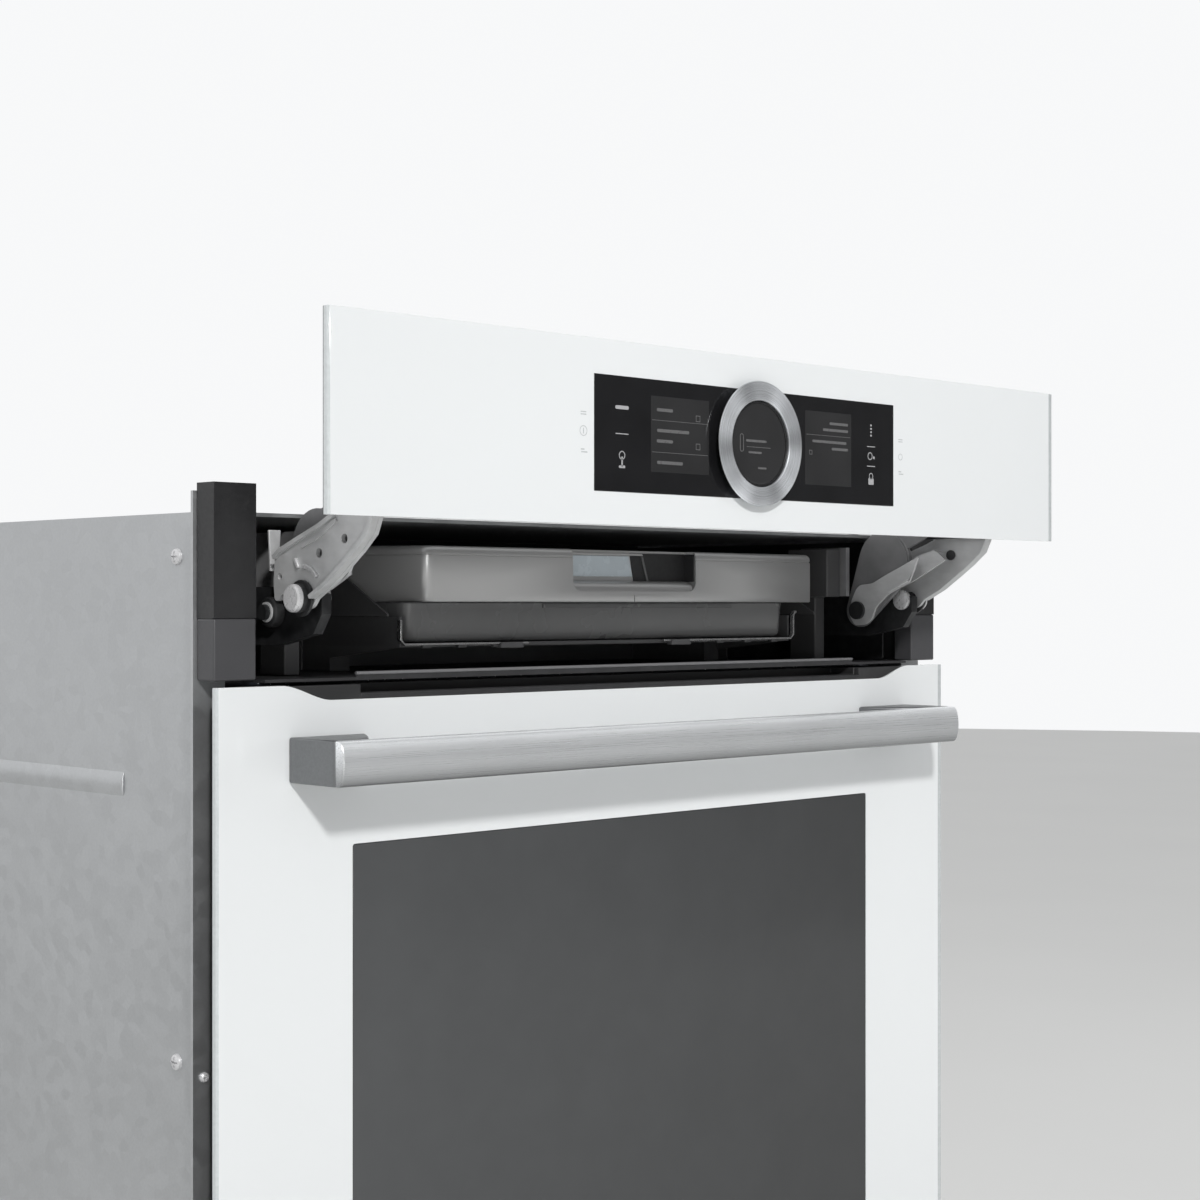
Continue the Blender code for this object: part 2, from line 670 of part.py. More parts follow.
def build_door():
    pivot = (0, HINGE_DEPTH, HINGE_HEIGHT)
    steps = 10
    slope = [
        (
            NOTCH_FLAT_HALF + (NOTCH_HALF - NOTCH_FLAT_HALF) * i / steps,
            DOOR_TOP - NOTCH_DEPTH * (1 + math.cos(math.pi * i / steps)) / 2,
        )
        for i in range(steps + 1)
    ]
    notch = [(-x, z) for x, z in reversed(slope)] + slope
    notch[0] = (-NOTCH_HALF - 4, DOOR_TOP + 5)
    notch[-1] = (NOTCH_HALF + 4, DOOR_TOP + 5)
    notch.insert(1, (-NOTCH_HALF, DOOR_TOP))
    notch.insert(-1, (NOTCH_HALF, DOOR_TOP))
    glass = block((-FRONT_HALF, FRONT_HALF), (0, GLASS), (DOOR_BOTTOM, DOOR_TOP))
    window_way = block((-WINDOW_HALF, WINDOW_HALF), (-5, GLASS + 5), (WINDOW_BOTTOM, WINDOW_TOP))
    glass = less(glass, window_way, prism("Y", notch, -5, GLASS + 5))
    finish("door_glass", glass, "white_glass", pivot=pivot, bevel=0.6)

    window = block(
        (-WINDOW_HALF + GAP, WINDOW_HALF - GAP), (0, GLASS), (WINDOW_BOTTOM + GAP, WINDOW_TOP - GAP)
    )
    finish("window_glass", window, "black_glass", pivot=pivot)

    def side_rail(side):
        return block(span(side, RAIL_INNER, DOOR_FRAME_HALF), (GLASS + GAP, DOOR_BACK), (RAIL_BOTTOM, RAIL_TOP))

    both_sides("door_side_rail", side_rail, "dark_paint", pivot=pivot)

    half = RAIL_INNER - GAP
    for name, front in (("door_middle_glass", MIDDLE_PANE_FRONT), ("door_inner_glass", DOOR_BACK - PANE)):
        pane = block((-half, half), (front, front + PANE), (RAIL_BOTTOM, RAIL_TOP))
        finish(name, pane, "clear_glass", pivot=pivot)

    bottom = block((-DOOR_FRAME_HALF, DOOR_FRAME_HALF), (GLASS + GAP, DOOR_BACK), (DOOR_UNDER, RAIL_BOTTOM - GAP))
    bores = [
        rod("X", (HINGE_DEPTH, HINGE_HEIGHT), 3.35, *span(side, 249, 270), count=16) for side in (1, -1)
    ]
    finish("door_bottom_rail", less(bottom, *bores), "dark_paint", pivot=pivot)

    trim = block((-DOOR_FRAME_HALF, DOOR_FRAME_HALF), (GLASS + GAP, DOOR_BACK), (RAIL_TOP + GAP, DOOR_TOP - 0.5))
    slot = block((-SLOT_HALF, SLOT_HALF), (GLASS - 5, 24), (DOOR_TOP - 4.8, DOOR_TOP + 5))
    channel = block((-SLOT_HALF, SLOT_HALF), (7, 24), (DOOR_TOP - 10, DOOR_TOP + 5))
    finish("door_top_trim", less(less(trim, slot), channel), "dark_paint", pivot=pivot)

    mid = (HANDLE_TOP + HANDLE_BOTTOM) / 2
    half = (HANDLE_TOP - HANDLE_BOTTOM) / 2
    profile = [(-HANDLE_STANDOFF + HANDLE_THICK, HANDLE_TOP), (-HANDLE_STANDOFF + HANDLE_THICK, HANDLE_BOTTOM)]
    for i in range(9):
        a = math.radians(-90 + 180 * i / 8)
        bulge = (HANDLE_THICK - 1.5) * math.cos(a) + 1.5
        profile.append((-HANDLE_STANDOFF + HANDLE_THICK - bulge, mid + half * math.sin(a)))
    profile = [profile[1]] + profile[2:] + [profile[0]]
    bar = prism("X", profile, -HANDLE_HALF, HANDLE_HALF)
    finish("handle_bar", bar, "brushed_aluminium", pivot=pivot)

    def post(side):
        back = -HANDLE_STANDOFF + HANDLE_THICK + GAP
        outline = [(HANDLE_HALF, -GAP), (HANDLE_HALF, back), (238, back), (227, -30), (217, -18), (POST_INNER, -GAP)]
        return prism("Z", [(side * x, depth) for x, depth in outline], HANDLE_BOTTOM, HANDLE_TOP)

    both_sides("handle_post", post, "brushed_aluminium", pivot=pivot)


# ---------------------------------------------------------------- lift mechanism


def build_lift():
    bar_height = (DOOR_TOP + 20, DOOR_TOP + 50)
    back = CROSSBAR_FRONT + 12
    frame = block((-BAR_INNER - 1, BAR_INNER + 1), (CROSSBAR_FRONT, back), (DOOR_TOP + 28, DOOR_TOP + 44))
    nut = block((-14, 14), (back - 1, back + 22), (DOOR_TOP + 24, DOOR_TOP + 48))
    plus(frame, nut)
    for side in (1, -1):
        outline = [
            (-17, DOOR_TOP + 36),
            (-10, DOOR_TOP + 26),
            (20, bar_height[0]),
            (back, bar_height[0]),
            (back, bar_height[1]),
            (-4, bar_height[1]),
            (-17, DOOR_TOP + 46),
        ]
        bar = prism("X", outline, *span(side, BAR_INNER, BAR_OUTER))
        arm_pin = rod("X", ARM_FOOT, 5, *span(side, BAR_INNER + 2, ARM_OUTER + 3))
        arm_head = rod("X", ARM_FOOT, 7.5, *span(side, ARM_OUTER + 0.6, ARM_OUTER + 5))
        link_pin = rod("X", LINK_FOOT, 4, *span(side, LINK_INNER - 2, ARM_OUTER + 4))
        link_head = rod("X", LINK_FOOT, 6, *span(side, LINK_INNER - 4, LINK_INNER - 0.6))
        plus(frame, bar, arm_pin, arm_head, link_pin, link_head)
    screw_way = rod("Y", (0, SPINDLE_HEIGHT), 4.6, CROSSBAR_FRONT - 5, back + 30)
    finish("carriage_frame", less(frame, screw_way), "dark_paint", pivot=(0, back, SPINDLE_HEIGHT))

    def rail(side):
        outer = block(span(side, 237.9, 248.1), (RAIL_FRONT, RAIL_BACK), (DECK_TOP + GAP, DOOR_TOP + 28))
        groove = block(
            span(side, BAR_INNER - GAP, BAR_OUTER + GAP),
            (RAIL_FRONT - 9, RAIL_BACK + 9),
            (bar_height[0] - GAP, DOOR_TOP + 40),
        )
        return less(outer, groove)

    both_sides("guide_rail", rail, "zinc_sheet")

    def arm(side):
        top = DOOR_TOP
        outline = [
            (16, top + 45),
            (14, top + 66),
            (9, top + 69),
            (-22.5, top + 80.5),
            (-38, top + 90),
            (-46, top + 106),
            (-54, top + 109.5),
            (-64, top + 109),
            (-70, top + 103),
            (-70, top + 84),
            (-66, top + 75),
            (-45, top + 58.5),
            (-21, top + 41),
            (-17, top + 36),
            (-8, top + 34),
            (4, top + 36),
            (9, top + 43),
        ]
        plate = prism("X", outline, *span(side, ARM_INNER, ARM_OUTER))
        ways = [
            rod("X", centre, radius, *span(side, ARM_INNER - 5, ARM_OUTER + 5), count=20)
            for centre, radius in (
                (ARM_FOOT, 5.4),
                (ARM_HEAD, 4.9),
                ((11.6 - 2, top + 55), 2.2),
                ((-21.7, top + 66.5), 2.6),
                ((-42, top + 73), 2.6),
            )
        ]
        return less(plate, *ways)

    both_sides("lift_arm", arm, "arm_steel", pivot=(0, *ARM_FOOT))

    def link(side):
        lobe = (LINK_FOOT[0] - 22, LINK_FOOT[1] + 21)
        plate = prism(
            "X", hull([(LINK_FOOT, 12), (lobe, 19), (LINK_HEAD, 7.5)]), *span(side, LINK_INNER, LINK_OUTER)
        )
        ways = [
            rod("X", centre, 4.5, *span(side, LINK_INNER - 5, LINK_OUTER + 5), count=20)
            for centre in (LINK_FOOT, LINK_HEAD)
        ]
        return less(plate, *ways)

    both_sides("rear_link", link, "arm_steel", pivot=(0, *LINK_FOOT))

    spindle = turned(
        "Y",
        (0, SPINDLE_HEIGHT),
        [
            (0, CROSSBAR_FRONT - 3),
            (SPINDLE_RADIUS - 0.6, CROSSBAR_FRONT - 3),
            (SPINDLE_RADIUS, CROSSBAR_FRONT - 2),
            (SPINDLE_RADIUS, MOTOR_FRONT - 4.5),
            (2 * SPINDLE_RADIUS, MOTOR_FRONT - 4.5),
            (2 * SPINDLE_RADIUS, MOTOR_FRONT - 1),
            (SPINDLE_RADIUS, MOTOR_FRONT - 1),
            (SPINDLE_RADIUS, MOTOR_FRONT + 11.5),
            (0, MOTOR_FRONT + 11.5),
        ],
        count=20,
    )
    finish("lift_spindle", spindle, "chrome_wire", pivot=(0, 280, SPINDLE_HEIGHT))

    motor = block((-22, 22), (MOTOR_FRONT, 432), (DECK_TOP + GAP, DOOR_TOP + 60))
    can = rod("Y", (0, SPINDLE_HEIGHT), 18, 431, 480, 28)
    bore = rod("Y", (0, SPINDLE_HEIGHT), 4.5, 390, 413)
    finish("lift_motor", less(plus(motor, can), bore), "zinc_sheet")


def build_panel():
    pivot = (0, *ARM_HEAD)
    back = PANEL_FRONT + GLASS
    glass = block((-FRONT_HALF, FRONT_HALF), (PANEL_FRONT, back), (PANEL_BOTTOM, PANEL_TOP))
    display = (DISPLAY_BOTTOM, DISPLAY_BOTTOM + DISPLAY_HEIGHT)
    way = block((-DISPLAY_HALF, DISPLAY_HALF), (PANEL_FRONT - 5, back + 5), display)
    finish("panel_glass", less(glass, way), "white_glass", pivot=pivot, bevel=0.6)
    window = block(
        (-DISPLAY_HALF + GAP, DISPLAY_HALF - GAP), (PANEL_FRONT, back), (display[0] + GAP, display[1] - GAP)
    )
    finish("display_window", window, "black_glass", pivot=pivot)

    plate = block((-268, 268), (back + GAP, back + GAP + 1.5), (PANEL_BOTTOM + 4, PANEL_TOP - 4))
    box = block((-215, 215), (back + GAP + 1, back + 18), (PANEL_BOTTOM + 6, PANEL_BOTTOM + 76))
    pocket = block((-122, 122), (back - 5, back + 16), (display[0] + 3, display[1] - 5))
    finish("panel_housing", less(plus(plate, box), pocket), "housing_plastic", pivot=pivot)

    root = back + GAP + 1.5 + GAP

    def bracket(side):
        web = prism(
            "X",
            hull([((root + 1, PANEL_BOTTOM + 3), 0.5), ((root + 1, PANEL_BOTTOM + 30), 0.5), (ARM_HEAD, 10),
                  (LINK_HEAD, 6.5)]),
            *span(side, BAR_INNER, BAR_OUTER),
        )
        trim = block(span(side, 230, 260), (root - 5, root), (PANEL_BOTTOM - 20, PANEL_BOTTOM + 60))
        web = less(web, trim)
        foot = block(span(side, 226, BAR_OUTER), (root, root + 2), (PANEL_BOTTOM + 6, PANEL_BOTTOM + 34))
        arm_pin = rod("X", ARM_HEAD, 4.5, *span(side, BAR_INNER + 2, ARM_OUTER + 3))
        arm_cap = rod("X", ARM_HEAD, 7, *span(side, ARM_OUTER + 0.6, ARM_OUTER + 4))
        link_pin = rod("X", LINK_HEAD, 4, *span(side, LINK_INNER - 1.5, BAR_INNER + 2))
        return plus(web, foot, arm_pin, arm_cap, link_pin)

    both_sides("panel_bracket", bracket, "dark_paint", pivot=pivot)

    axis = (0, DIAL_HEIGHT)
    face = PANEL_FRONT - GAP
    ring = turned(
        "Y",
        axis,
        [
            (DIAL_INNER, face),
            (DIAL_OUTER, face),
            (DIAL_OUTER, face - DIAL_PROUD + 2.0),
            (DIAL_OUTER - 1.5, face - DIAL_PROUD + GAP),
            (DIAL_INNER + 1.0, face - DIAL_PROUD + GAP),
            (DIAL_INNER, face - DIAL_PROUD + 1.5),
        ],
        count=64,
    )
    finish("dial_ring", ring, "brushed_aluminium", pivot=(0, face, DIAL_HEIGHT))
    centre = turned("Y", axis, [(0, face), (24.2, face), (24.2, face - 3.4), (23.4, face - 4.2), (0, face - 4.2)], 48)
    finish("dial_centre", centre, "black_glass", pivot=pivot)


# ---------------------------------------------------------------- water tank


def build_tank():
    back = TANK_FRONT + TANK_DEPTH
    pivot = (0, back, TANK_UNDER)
    lower = block((TANK_BODY_LEFT, TANK_BODY_RIGHT), (TANK_FRONT + 3, back), (TANK_UNDER, TANK_SPLIT))
    bowl = block(
        (TANK_BODY_LEFT + 2, TANK_BODY_RIGHT - 2), (TANK_FRONT + 5, back - 2), (TANK_UNDER + 2, TANK_SPLIT + 10)
    )
    finish("tank_body", less(lower, bowl), "tank_lower", pivot=pivot)

    lid = prism(
        "Z",
        rounded((TANK_LEFT, TANK_RIGHT), (TANK_FRONT, back), LID_CORNER, corners=(0, 0, 0, 1), steps=6),
        TANK_SPLIT + GAP,
        TANK_TOP,
    )
    scoop = block((SCOOP_LEFT, SCOOP_RIGHT), (TANK_FRONT - 5, TANK_FRONT + SCOOP_DEPTH), (SCOOP_FLOOR, TANK_TOP + 5))
    less(lid, scoop)
    pocket = block(
        (TANK_LEFT + TANK_WALL, TANK_RIGHT - TANK_WALL),
        (TANK_FRONT + LID_CORNER + 2, back - TANK_WALL),
        (TANK_SPLIT - 5, TANK_TOP - TANK_WALL),
    )
    finish("tank_lid", less(lid, pocket), "tank_plastic", pivot=pivot)

    left = TANK_BODY_LEFT - 1.5
    right = TANK_BODY_RIGHT + 1.5
    tray = block(
        (left - CRADLE_WALL, right + CRADLE_WALL), (TANK_FRONT + 4, back + 10), (DECK_TOP + GAP, TANK_SPLIT - 8)
    )
    hollow = block((left, right), (TANK_FRONT - 5, back + 8), (TANK_UNDER - GAP, TANK_SPLIT + 10))
    finish("tank_cradle", less(tray, hollow), "housing_plastic")


for leftover in list(bpy.data.objects):
    bpy.data.objects.remove(leftover)
MATERIALS = {slot: make_material(slot) for slot in COLOURS}
build_chassis()
build_cavity()
build_racks()
build_fans()
build_door()
build_lift()
build_panel()
build_tank()
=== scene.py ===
import json
import math

import bmesh
import bpy
from mathutils import Matrix, Vector


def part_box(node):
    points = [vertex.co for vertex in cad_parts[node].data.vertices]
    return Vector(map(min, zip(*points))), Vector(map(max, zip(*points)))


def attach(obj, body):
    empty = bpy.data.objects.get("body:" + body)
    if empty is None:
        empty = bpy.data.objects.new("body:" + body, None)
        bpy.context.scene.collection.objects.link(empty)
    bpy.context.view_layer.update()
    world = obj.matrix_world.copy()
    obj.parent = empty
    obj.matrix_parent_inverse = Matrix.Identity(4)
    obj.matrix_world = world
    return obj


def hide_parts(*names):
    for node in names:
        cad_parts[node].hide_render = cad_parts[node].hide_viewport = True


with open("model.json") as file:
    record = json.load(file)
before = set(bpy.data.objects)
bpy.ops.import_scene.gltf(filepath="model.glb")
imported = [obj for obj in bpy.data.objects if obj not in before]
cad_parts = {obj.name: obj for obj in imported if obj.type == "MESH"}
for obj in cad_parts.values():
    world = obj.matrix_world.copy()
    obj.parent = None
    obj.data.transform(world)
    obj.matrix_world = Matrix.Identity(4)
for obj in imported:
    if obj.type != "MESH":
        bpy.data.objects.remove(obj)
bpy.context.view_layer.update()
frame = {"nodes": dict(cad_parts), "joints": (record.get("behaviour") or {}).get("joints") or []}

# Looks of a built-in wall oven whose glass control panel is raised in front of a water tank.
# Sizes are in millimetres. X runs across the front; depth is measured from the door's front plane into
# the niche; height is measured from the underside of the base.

MM = 0.001
DOOR_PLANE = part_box("door_glass")[0][1] / MM
SHELL_HALF = 280.0      # half the width of the body behind the front
PLINTH = 60.5           # height of the stand under the oven
FINISH = {}             # materials by name


def room(node):
    """Lowest and highest corner of a CAD node as (x, depth, height) in millimetres."""
    low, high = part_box(node)
    return tuple(Vector((c[0] / MM, c[1] / MM - DOOR_PLANE, c[2] / MM)) for c in (low, high))


# ---------------------------------------------------------------- materials


class Finish:
    """A Principled material whose colour, roughness and relief come from procedural patterns.

    A range goes with each pattern: the values at its start and end, and the pattern's own start and end.
    """

    def __init__(self, name, colour, roughness, metallic=0.0, **sockets):
        self.material = bpy.data.materials.new(name)
        FINISH[name] = self.material
        self.material.use_nodes = True
        self.tree = self.material.node_tree
        self.shader = self.tree.nodes["Principled BSDF"]
        self.colour = (*colour, 1.0)
        self.roughness = roughness
        self.relief = None
        self.shader.inputs["Base Color"].default_value = self.colour
        self.shader.inputs["Roughness"].default_value = roughness
        self.shader.inputs["Metallic"].default_value = metallic
        for socket, value in sockets.items():
            self.shader.inputs[socket.replace("_", " ")].default_value = value
        self.place = self.node("ShaderNodeTexCoord").outputs["Object"]
        self.paint = None

    def node(self, kind, **settings):
        made = self.tree.nodes.new(kind)
        for key, value in settings.items():
            setattr(made, key, value)
        return made

    def link(self, source, target):
        self.tree.links.new(source, target)

    def maths(self, operation, *values):
        made = self.node("ShaderNodeMath", operation=operation)
        for socket, value in zip(made.inputs, values):
            if isinstance(value, (int, float)):
                socket.default_value = value
            else:
                self.link(value, socket)
        return made.outputs[0]

    def stretched(self, stretch):
        mapping = self.node("ShaderNodeMapping")
        mapping.inputs["Scale"].default_value = stretch
        self.link(self.place, mapping.inputs["Vector"])
        return mapping.outputs[0]

    def across(self, axis):
        parts = self.node("ShaderNodeSeparateXYZ")
        self.link(self.place, parts.inputs[0])
        return parts.outputs[axis]

    def noise(self, scale, stretch=(1, 1, 1), detail=3.0):
        made = self.node("ShaderNodeTexNoise")
        made.inputs["Scale"].default_value = scale
        made.inputs["Detail"].default_value = detail
        self.link(self.stretched(stretch), made.inputs["Vector"])
        return made.outputs["Fac"]

    def cells(self, scale, output="Color", stretch=(1, 1, 1), randomness=1.0):
        made = self.node("ShaderNodeTexVoronoi")
        made.inputs["Scale"].default_value = scale
        made.inputs["Randomness"].default_value = randomness
        self.link(self.stretched(stretch), made.inputs["Vector"])
        return made.outputs[output]

    def span(self, value, low, high, start=0.3, end=0.7):
        made = self.node("ShaderNodeMapRange")
        self.link(value, made.inputs["Value"])
        for socket, number in zip(("From Min", "From Max", "To Min", "To Max"), (start, end, low, high)):
            made.inputs[socket].default_value = number
        return made.outputs["Result"]

    def tint(self, value, low, high, start=0.3, end=0.7):
        """Brighten and darken the paint between two factors."""
        factor = self.span(value, low, high, start, end)
        made = self.node("ShaderNodeMix", data_type="RGBA", blend_type="MULTIPLY")
        made.inputs[0].default_value = 1.0
        if self.paint is None:
            made.inputs[6].default_value = self.colour
        else:
            self.link(self.paint, made.inputs[6])
        self.link(factor, made.inputs[7])
        self.set_paint(made.outputs[2])
        return self

    def blend(self, factor, colour):
        """Lay another colour over the paint where the factor is 1."""
        made = self.node("ShaderNodeMix", data_type="RGBA")
        self.link(factor, made.inputs[0])
        if self.paint is None:
            made.inputs[6].default_value = self.colour
        else:
            self.link(self.paint, made.inputs[6])
        made.inputs[7].default_value = (*colour, 1.0)
        self.set_paint(made.outputs[2])
        return self

    def set_paint(self, socket):
        self.paint = socket
        self.link(socket, self.shader.inputs["Base Color"])

    def gloss(self, value, low, high, start=0.3, end=0.7):
        self.link(self.span(value, low, high, start, end), self.shader.inputs["Roughness"])
        return self

    def bump(self, value, strength, distance):
        made = self.node("ShaderNodeBump")
        made.inputs["Strength"].default_value = strength
        made.inputs["Distance"].default_value = distance * MM
        self.link(value, made.inputs["Height"])
        if self.relief is not None:
            self.link(self.relief, made.inputs["Normal"])
        self.relief = made.outputs["Normal"]
        self.link(self.relief, self.shader.inputs["Normal"])
        return self

    def wear(self, amount, colour):
        """Lighter metal or plastic along convex edges, broken up by noise."""
        edge = self.node("ShaderNodeNewGeometry").outputs["Pointiness"]
        worn = self.span(edge, 0.0, amount, 0.53, 0.62)
        self.blend(self.maths("MULTIPLY", worn, self.noise(90, detail=4)), colour)
        return self


def grained(name, colour, roughness, metallic, tint, gloss, bump=None, **sockets):
    """Finish whose tint, gloss and relief each follow a noise, given as its scale and two values."""
    finish = Finish(name, colour, roughness, metallic, **sockets)
    finish.tint(finish.noise(tint[0]), *tint[1:]).gloss(finish.noise(gloss[0]), *gloss[1:])
    if bump:
        finish.bump(finish.noise(bump[0]), *bump[1:])
    return finish


def moulded(name, colour, roughness, grain=1500.0):
    """Matt plastic with a fine mould texture and paler edges."""
    plastic = Finish(name, colour, roughness, IOR=1.48)
    plastic.tint(plastic.noise(25), 0.94, 1.07).gloss(plastic.noise(400), roughness - 0.06, roughness + 0.08)
    plastic.bump(plastic.noise(grain, detail=2), 0.12, 0.06)
    plastic.wear(0.3, tuple(min(1.0, c * 2 + 0.03) for c in colour))


def make_finishes():
    glass = Finish("white_glass", (0.81, 0.83, 0.84), 0.3, IOR=1.5, Coat_Weight=0.6, Coat_Roughness=0.02)
    glass.tint(glass.noise(3), 0.985, 1.015).bump(glass.noise(9), 0.02, 1.0)
    # painted light: the white glass is darker at its left end and brighter at its right, in step with the
    # light of the scene
    glass.gloss(glass.noise(60), 0.2, 0.26).tint(glass.across("X"), 0.965, 1.04, -0.28, 0.28)

    edge = Finish("glass_edge", (0.58, 0.61, 0.62), 0.2, IOR=1.5, Coat_Weight=0.4, Coat_Roughness=0.05)
    edge.tint(edge.noise(500, (0.2, 1, 1)), 0.94, 1.04).bump(edge.noise(900), 0.05, 0.1)

    black = Finish("black_glass", (0.008, 0.008, 0.009), 0.2, IOR=1.5)
    black.gloss(black.noise(14), 0.18, 0.24).bump(black.noise(8), 0.01, 0.5)
    black.tint(black.noise(40), 0.8, 1.2)

    window = Finish("window_glass", (0.05, 0.052, 0.054), 0.06, IOR=1.52)
    window.gloss(window.noise(7), 0.05, 0.1).bump(window.noise(5), 0.012, 1.0)
    # painted reflection: brighter towards its left edge and darker towards its right, in step with the light
    # of the scene
    window.tint(window.noise(30), 0.95, 1.05).tint(window.across("X"), 1.3, 0.72, -0.22, 0.21)

    clear = Finish("clear_glass", (0.55, 0.62, 0.6), 0.03, IOR=1.5, Alpha=0.22)
    clear.gloss(clear.noise(12), 0.02, 0.08)

    frit = Finish("black_frit", (0.012, 0.012, 0.013), 0.3, IOR=1.5)
    frit.gloss(frit.noise(300), 0.24, 0.36)
    frit.bump(frit.noise(1500), 0.04, 0.05)

    bar = Finish("handle_aluminium", (0.7, 0.715, 0.73), 0.36, 0.6, Anisotropic=0.55)
    lines = bar.noise(1.0, (14, 2600, 2600), 4.0)
    bar.tint(lines, 0.97, 1.03).gloss(lines, 0.25, 0.36).bump(lines, 0.08, 0.06)
    # painted shade: darker towards its underside and brighter at the top, in step with the light of the scene
    low, high = room("handle_bar")
    bar.tint(bar.noise(18), 0.97, 1.03).tint(bar.across("Z"), 0.35, 1.3, low[2] * MM, (high[2] - 3) * MM)

    grained("cap_aluminium", (0.2, 0.206, 0.212), 0.45, 0.8, (700, 0.95, 1.05), (300, 0.36, 0.48),
            (1800, 0.06, 0.05))

    ring = Finish("dial_aluminium", (0.68, 0.7, 0.73), 0.3, 0.6, Anisotropic=0.85)
    low, high = room("dial_ring")
    shift = ring.node("ShaderNodeVectorMath", operation="SUBTRACT")
    ring.link(ring.place, shift.inputs[0])
    middle = (low + high) / 2 + Vector((0, DOOR_PLANE, 0))
    shift.inputs[1].default_value = middle * MM
    parts = ring.node("ShaderNodeSeparateXYZ")
    ring.link(shift.outputs[0], parts.inputs[0])
    angle = ring.maths("ARCTAN2", parts.outputs["Z"], parts.outputs["X"])
    squares = [ring.maths("MULTIPLY", parts.outputs[k], parts.outputs[k]) for k in ("X", "Z")]
    radius = ring.maths("SQRT", ring.maths("ADD", *squares))
    grooves = ring.node("ShaderNodeTexNoise")
    grooves.noise_dimensions = "1D"
    grooves.inputs["Scale"].default_value = 5200
    ring.link(radius, grooves.inputs["W"])
    # painted highlights: the bright and dark sectors round the ring stand in for the sheen of its circular
    # brushing
    painted_highlight_broad = ring.maths("COSINE", ring.maths("MULTIPLY", ring.maths("ADD", angle, 0.55), 4.0))
    painted_highlight_fine = ring.maths("COSINE", ring.maths("MULTIPLY", ring.maths("ADD", angle, 0.2), 10.0))
    bands = ring.maths("ADD", ring.maths("MULTIPLY", painted_highlight_broad, 0.6), ring.maths("MULTIPLY", painted_highlight_fine, 0.25))
    ring.tint(bands, 0.58, 1.22, -0.8, 0.8).tint(grooves.outputs[0], 0.95, 1.04)
    ring.gloss(grooves.outputs[0], 0.22, 0.34).bump(grooves.outputs[0], 0.1, 0.05)
    tangent = ring.node("ShaderNodeTangent", direction_type="RADIAL", axis="Y")
    ring.link(tangent.outputs[0], ring.shader.inputs["Tangent"])

    arm = Finish("pressed_steel", (0.62, 0.625, 0.63), 0.42, 0.35)
    grain = arm.noise(1.0, (260, 90, 260), 4.0)
    arm.tint(grain, 0.93, 1.05).gloss(grain, 0.36, 0.5).bump(arm.noise(1300), 0.07, 0.06)
    arm.tint(arm.noise(60), 0.9, 1.06).wear(0.5, (0.85, 0.85, 0.86))

    link = grained("link_steel", (0.24, 0.24, 0.245), 0.42, 0.4, (70, 0.88, 1.08), (260, 0.36, 0.5),
                   (1300, 0.07, 0.06))
    link.wear(0.5, (0.55, 0.55, 0.56))

    grained("bright_pin", (0.66, 0.66, 0.67), 0.34, 0.35, (900, 0.9, 1.05), (500, 0.24, 0.38),
            (1500, 0.05, 0.05))

    dark_steel = grained("blackened_steel", (0.035, 0.036, 0.038), 0.42, 0.6, (200, 0.8, 1.25),
                         (120, 0.34, 0.52),
                         (1100, 0.06, 0.06))
    dark_steel.wear(0.35, (0.2, 0.2, 0.2))

    zinc = Finish("zinc_sheet", (0.5, 0.51, 0.52), 0.42, 0.85)
    spangle = zinc.cells(120, stretch=(1, 1, 1.25))
    zinc.tint(spangle, 0.95, 1.04, 0.1, 0.9).gloss(spangle, 0.37, 0.46, 0.1, 0.9)
    zinc.tint(zinc.noise(600), 0.97, 1.03).bump(zinc.noise(1400), 0.04, 0.05).bump(zinc.noise(6), 0.03, 2.0)
    zinc.tint(zinc.noise(2.2, (1, 1, 2)), 0.93, 1.05)

    paint = Finish("black_paint", (0.028, 0.028, 0.03), 0.4, IOR=1.5)
    paint.tint(paint.noise(120), 0.85, 1.2).gloss(paint.noise(350), 0.32, 0.46)
    paint.bump(paint.noise(1100, detail=2), 0.09, 0.06).wear(0.2, (0.05, 0.05, 0.05))

    moulded("filler_dark", (0.013, 0.013, 0.014), 0.44)
    moulded("filler_light", (0.055, 0.055, 0.059), 0.4)
    moulded("trim_plastic", (0.026, 0.026, 0.027), 0.4)
    moulded("dark_plastic", (0.018, 0.018, 0.019), 0.5)
    moulded("cradle_plastic", (0.075, 0.075, 0.077), 0.42)
    moulded("lip_plastic", (0.16, 0.16, 0.165), 0.35)
    moulded("clip_grey", (0.13, 0.13, 0.133), 0.4)
    moulded("nylon", (0.62, 0.6, 0.54), 0.45)
    moulded("label_grey", (0.3, 0.31, 0.32), 0.5)

    tank = Finish("tank_grey", (0.5, 0.5, 0.5), 0.3, 0.5)
    tank.gloss(tank.noise(25), 0.28, 0.32).tint(tank.noise(12), 0.97, 1.03)
    tank.bump(tank.noise(240), 0.01, 0.1)

    grained("tank_smoke", (0.11, 0.111, 0.112), 0.3, 0.0, (14, 0.92, 1.1), (30, 0.26, 0.28),
            (800, 0.008, 0.03),
            IOR=1.5, Coat_Weight=0.3, Coat_Roughness=0.15)

    grained("tank_window", (0.5, 0.56, 0.6), 0.25, 0.0, (30, 0.95, 1.05), (150, 0.2, 0.32), (500, 0.03, 0.05),
            IOR=1.45, Coat_Weight=0.5, Coat_Roughness=0.08)

    enamel = Finish("enamel", (0.018, 0.02, 0.026), 0.2, IOR=1.5, Coat_Weight=0.7, Coat_Roughness=0.06)
    fleck = enamel.span(enamel.cells(420, "Distance"), 1.0, 0.0, 0.1, 0.16)
    enamel.blend(fleck, (0.42, 0.44, 0.46)).tint(enamel.noise(8), 0.9, 1.1)
    enamel.gloss(enamel.noise(40), 0.15, 0.28).bump(enamel.noise(170), 0.06, 0.2)

    grained("chrome_wire", (0.7, 0.7, 0.71), 0.14, 1.0, (300, 0.93, 1.04), (90, 0.1, 0.22), (700, 0.03, 0.05))

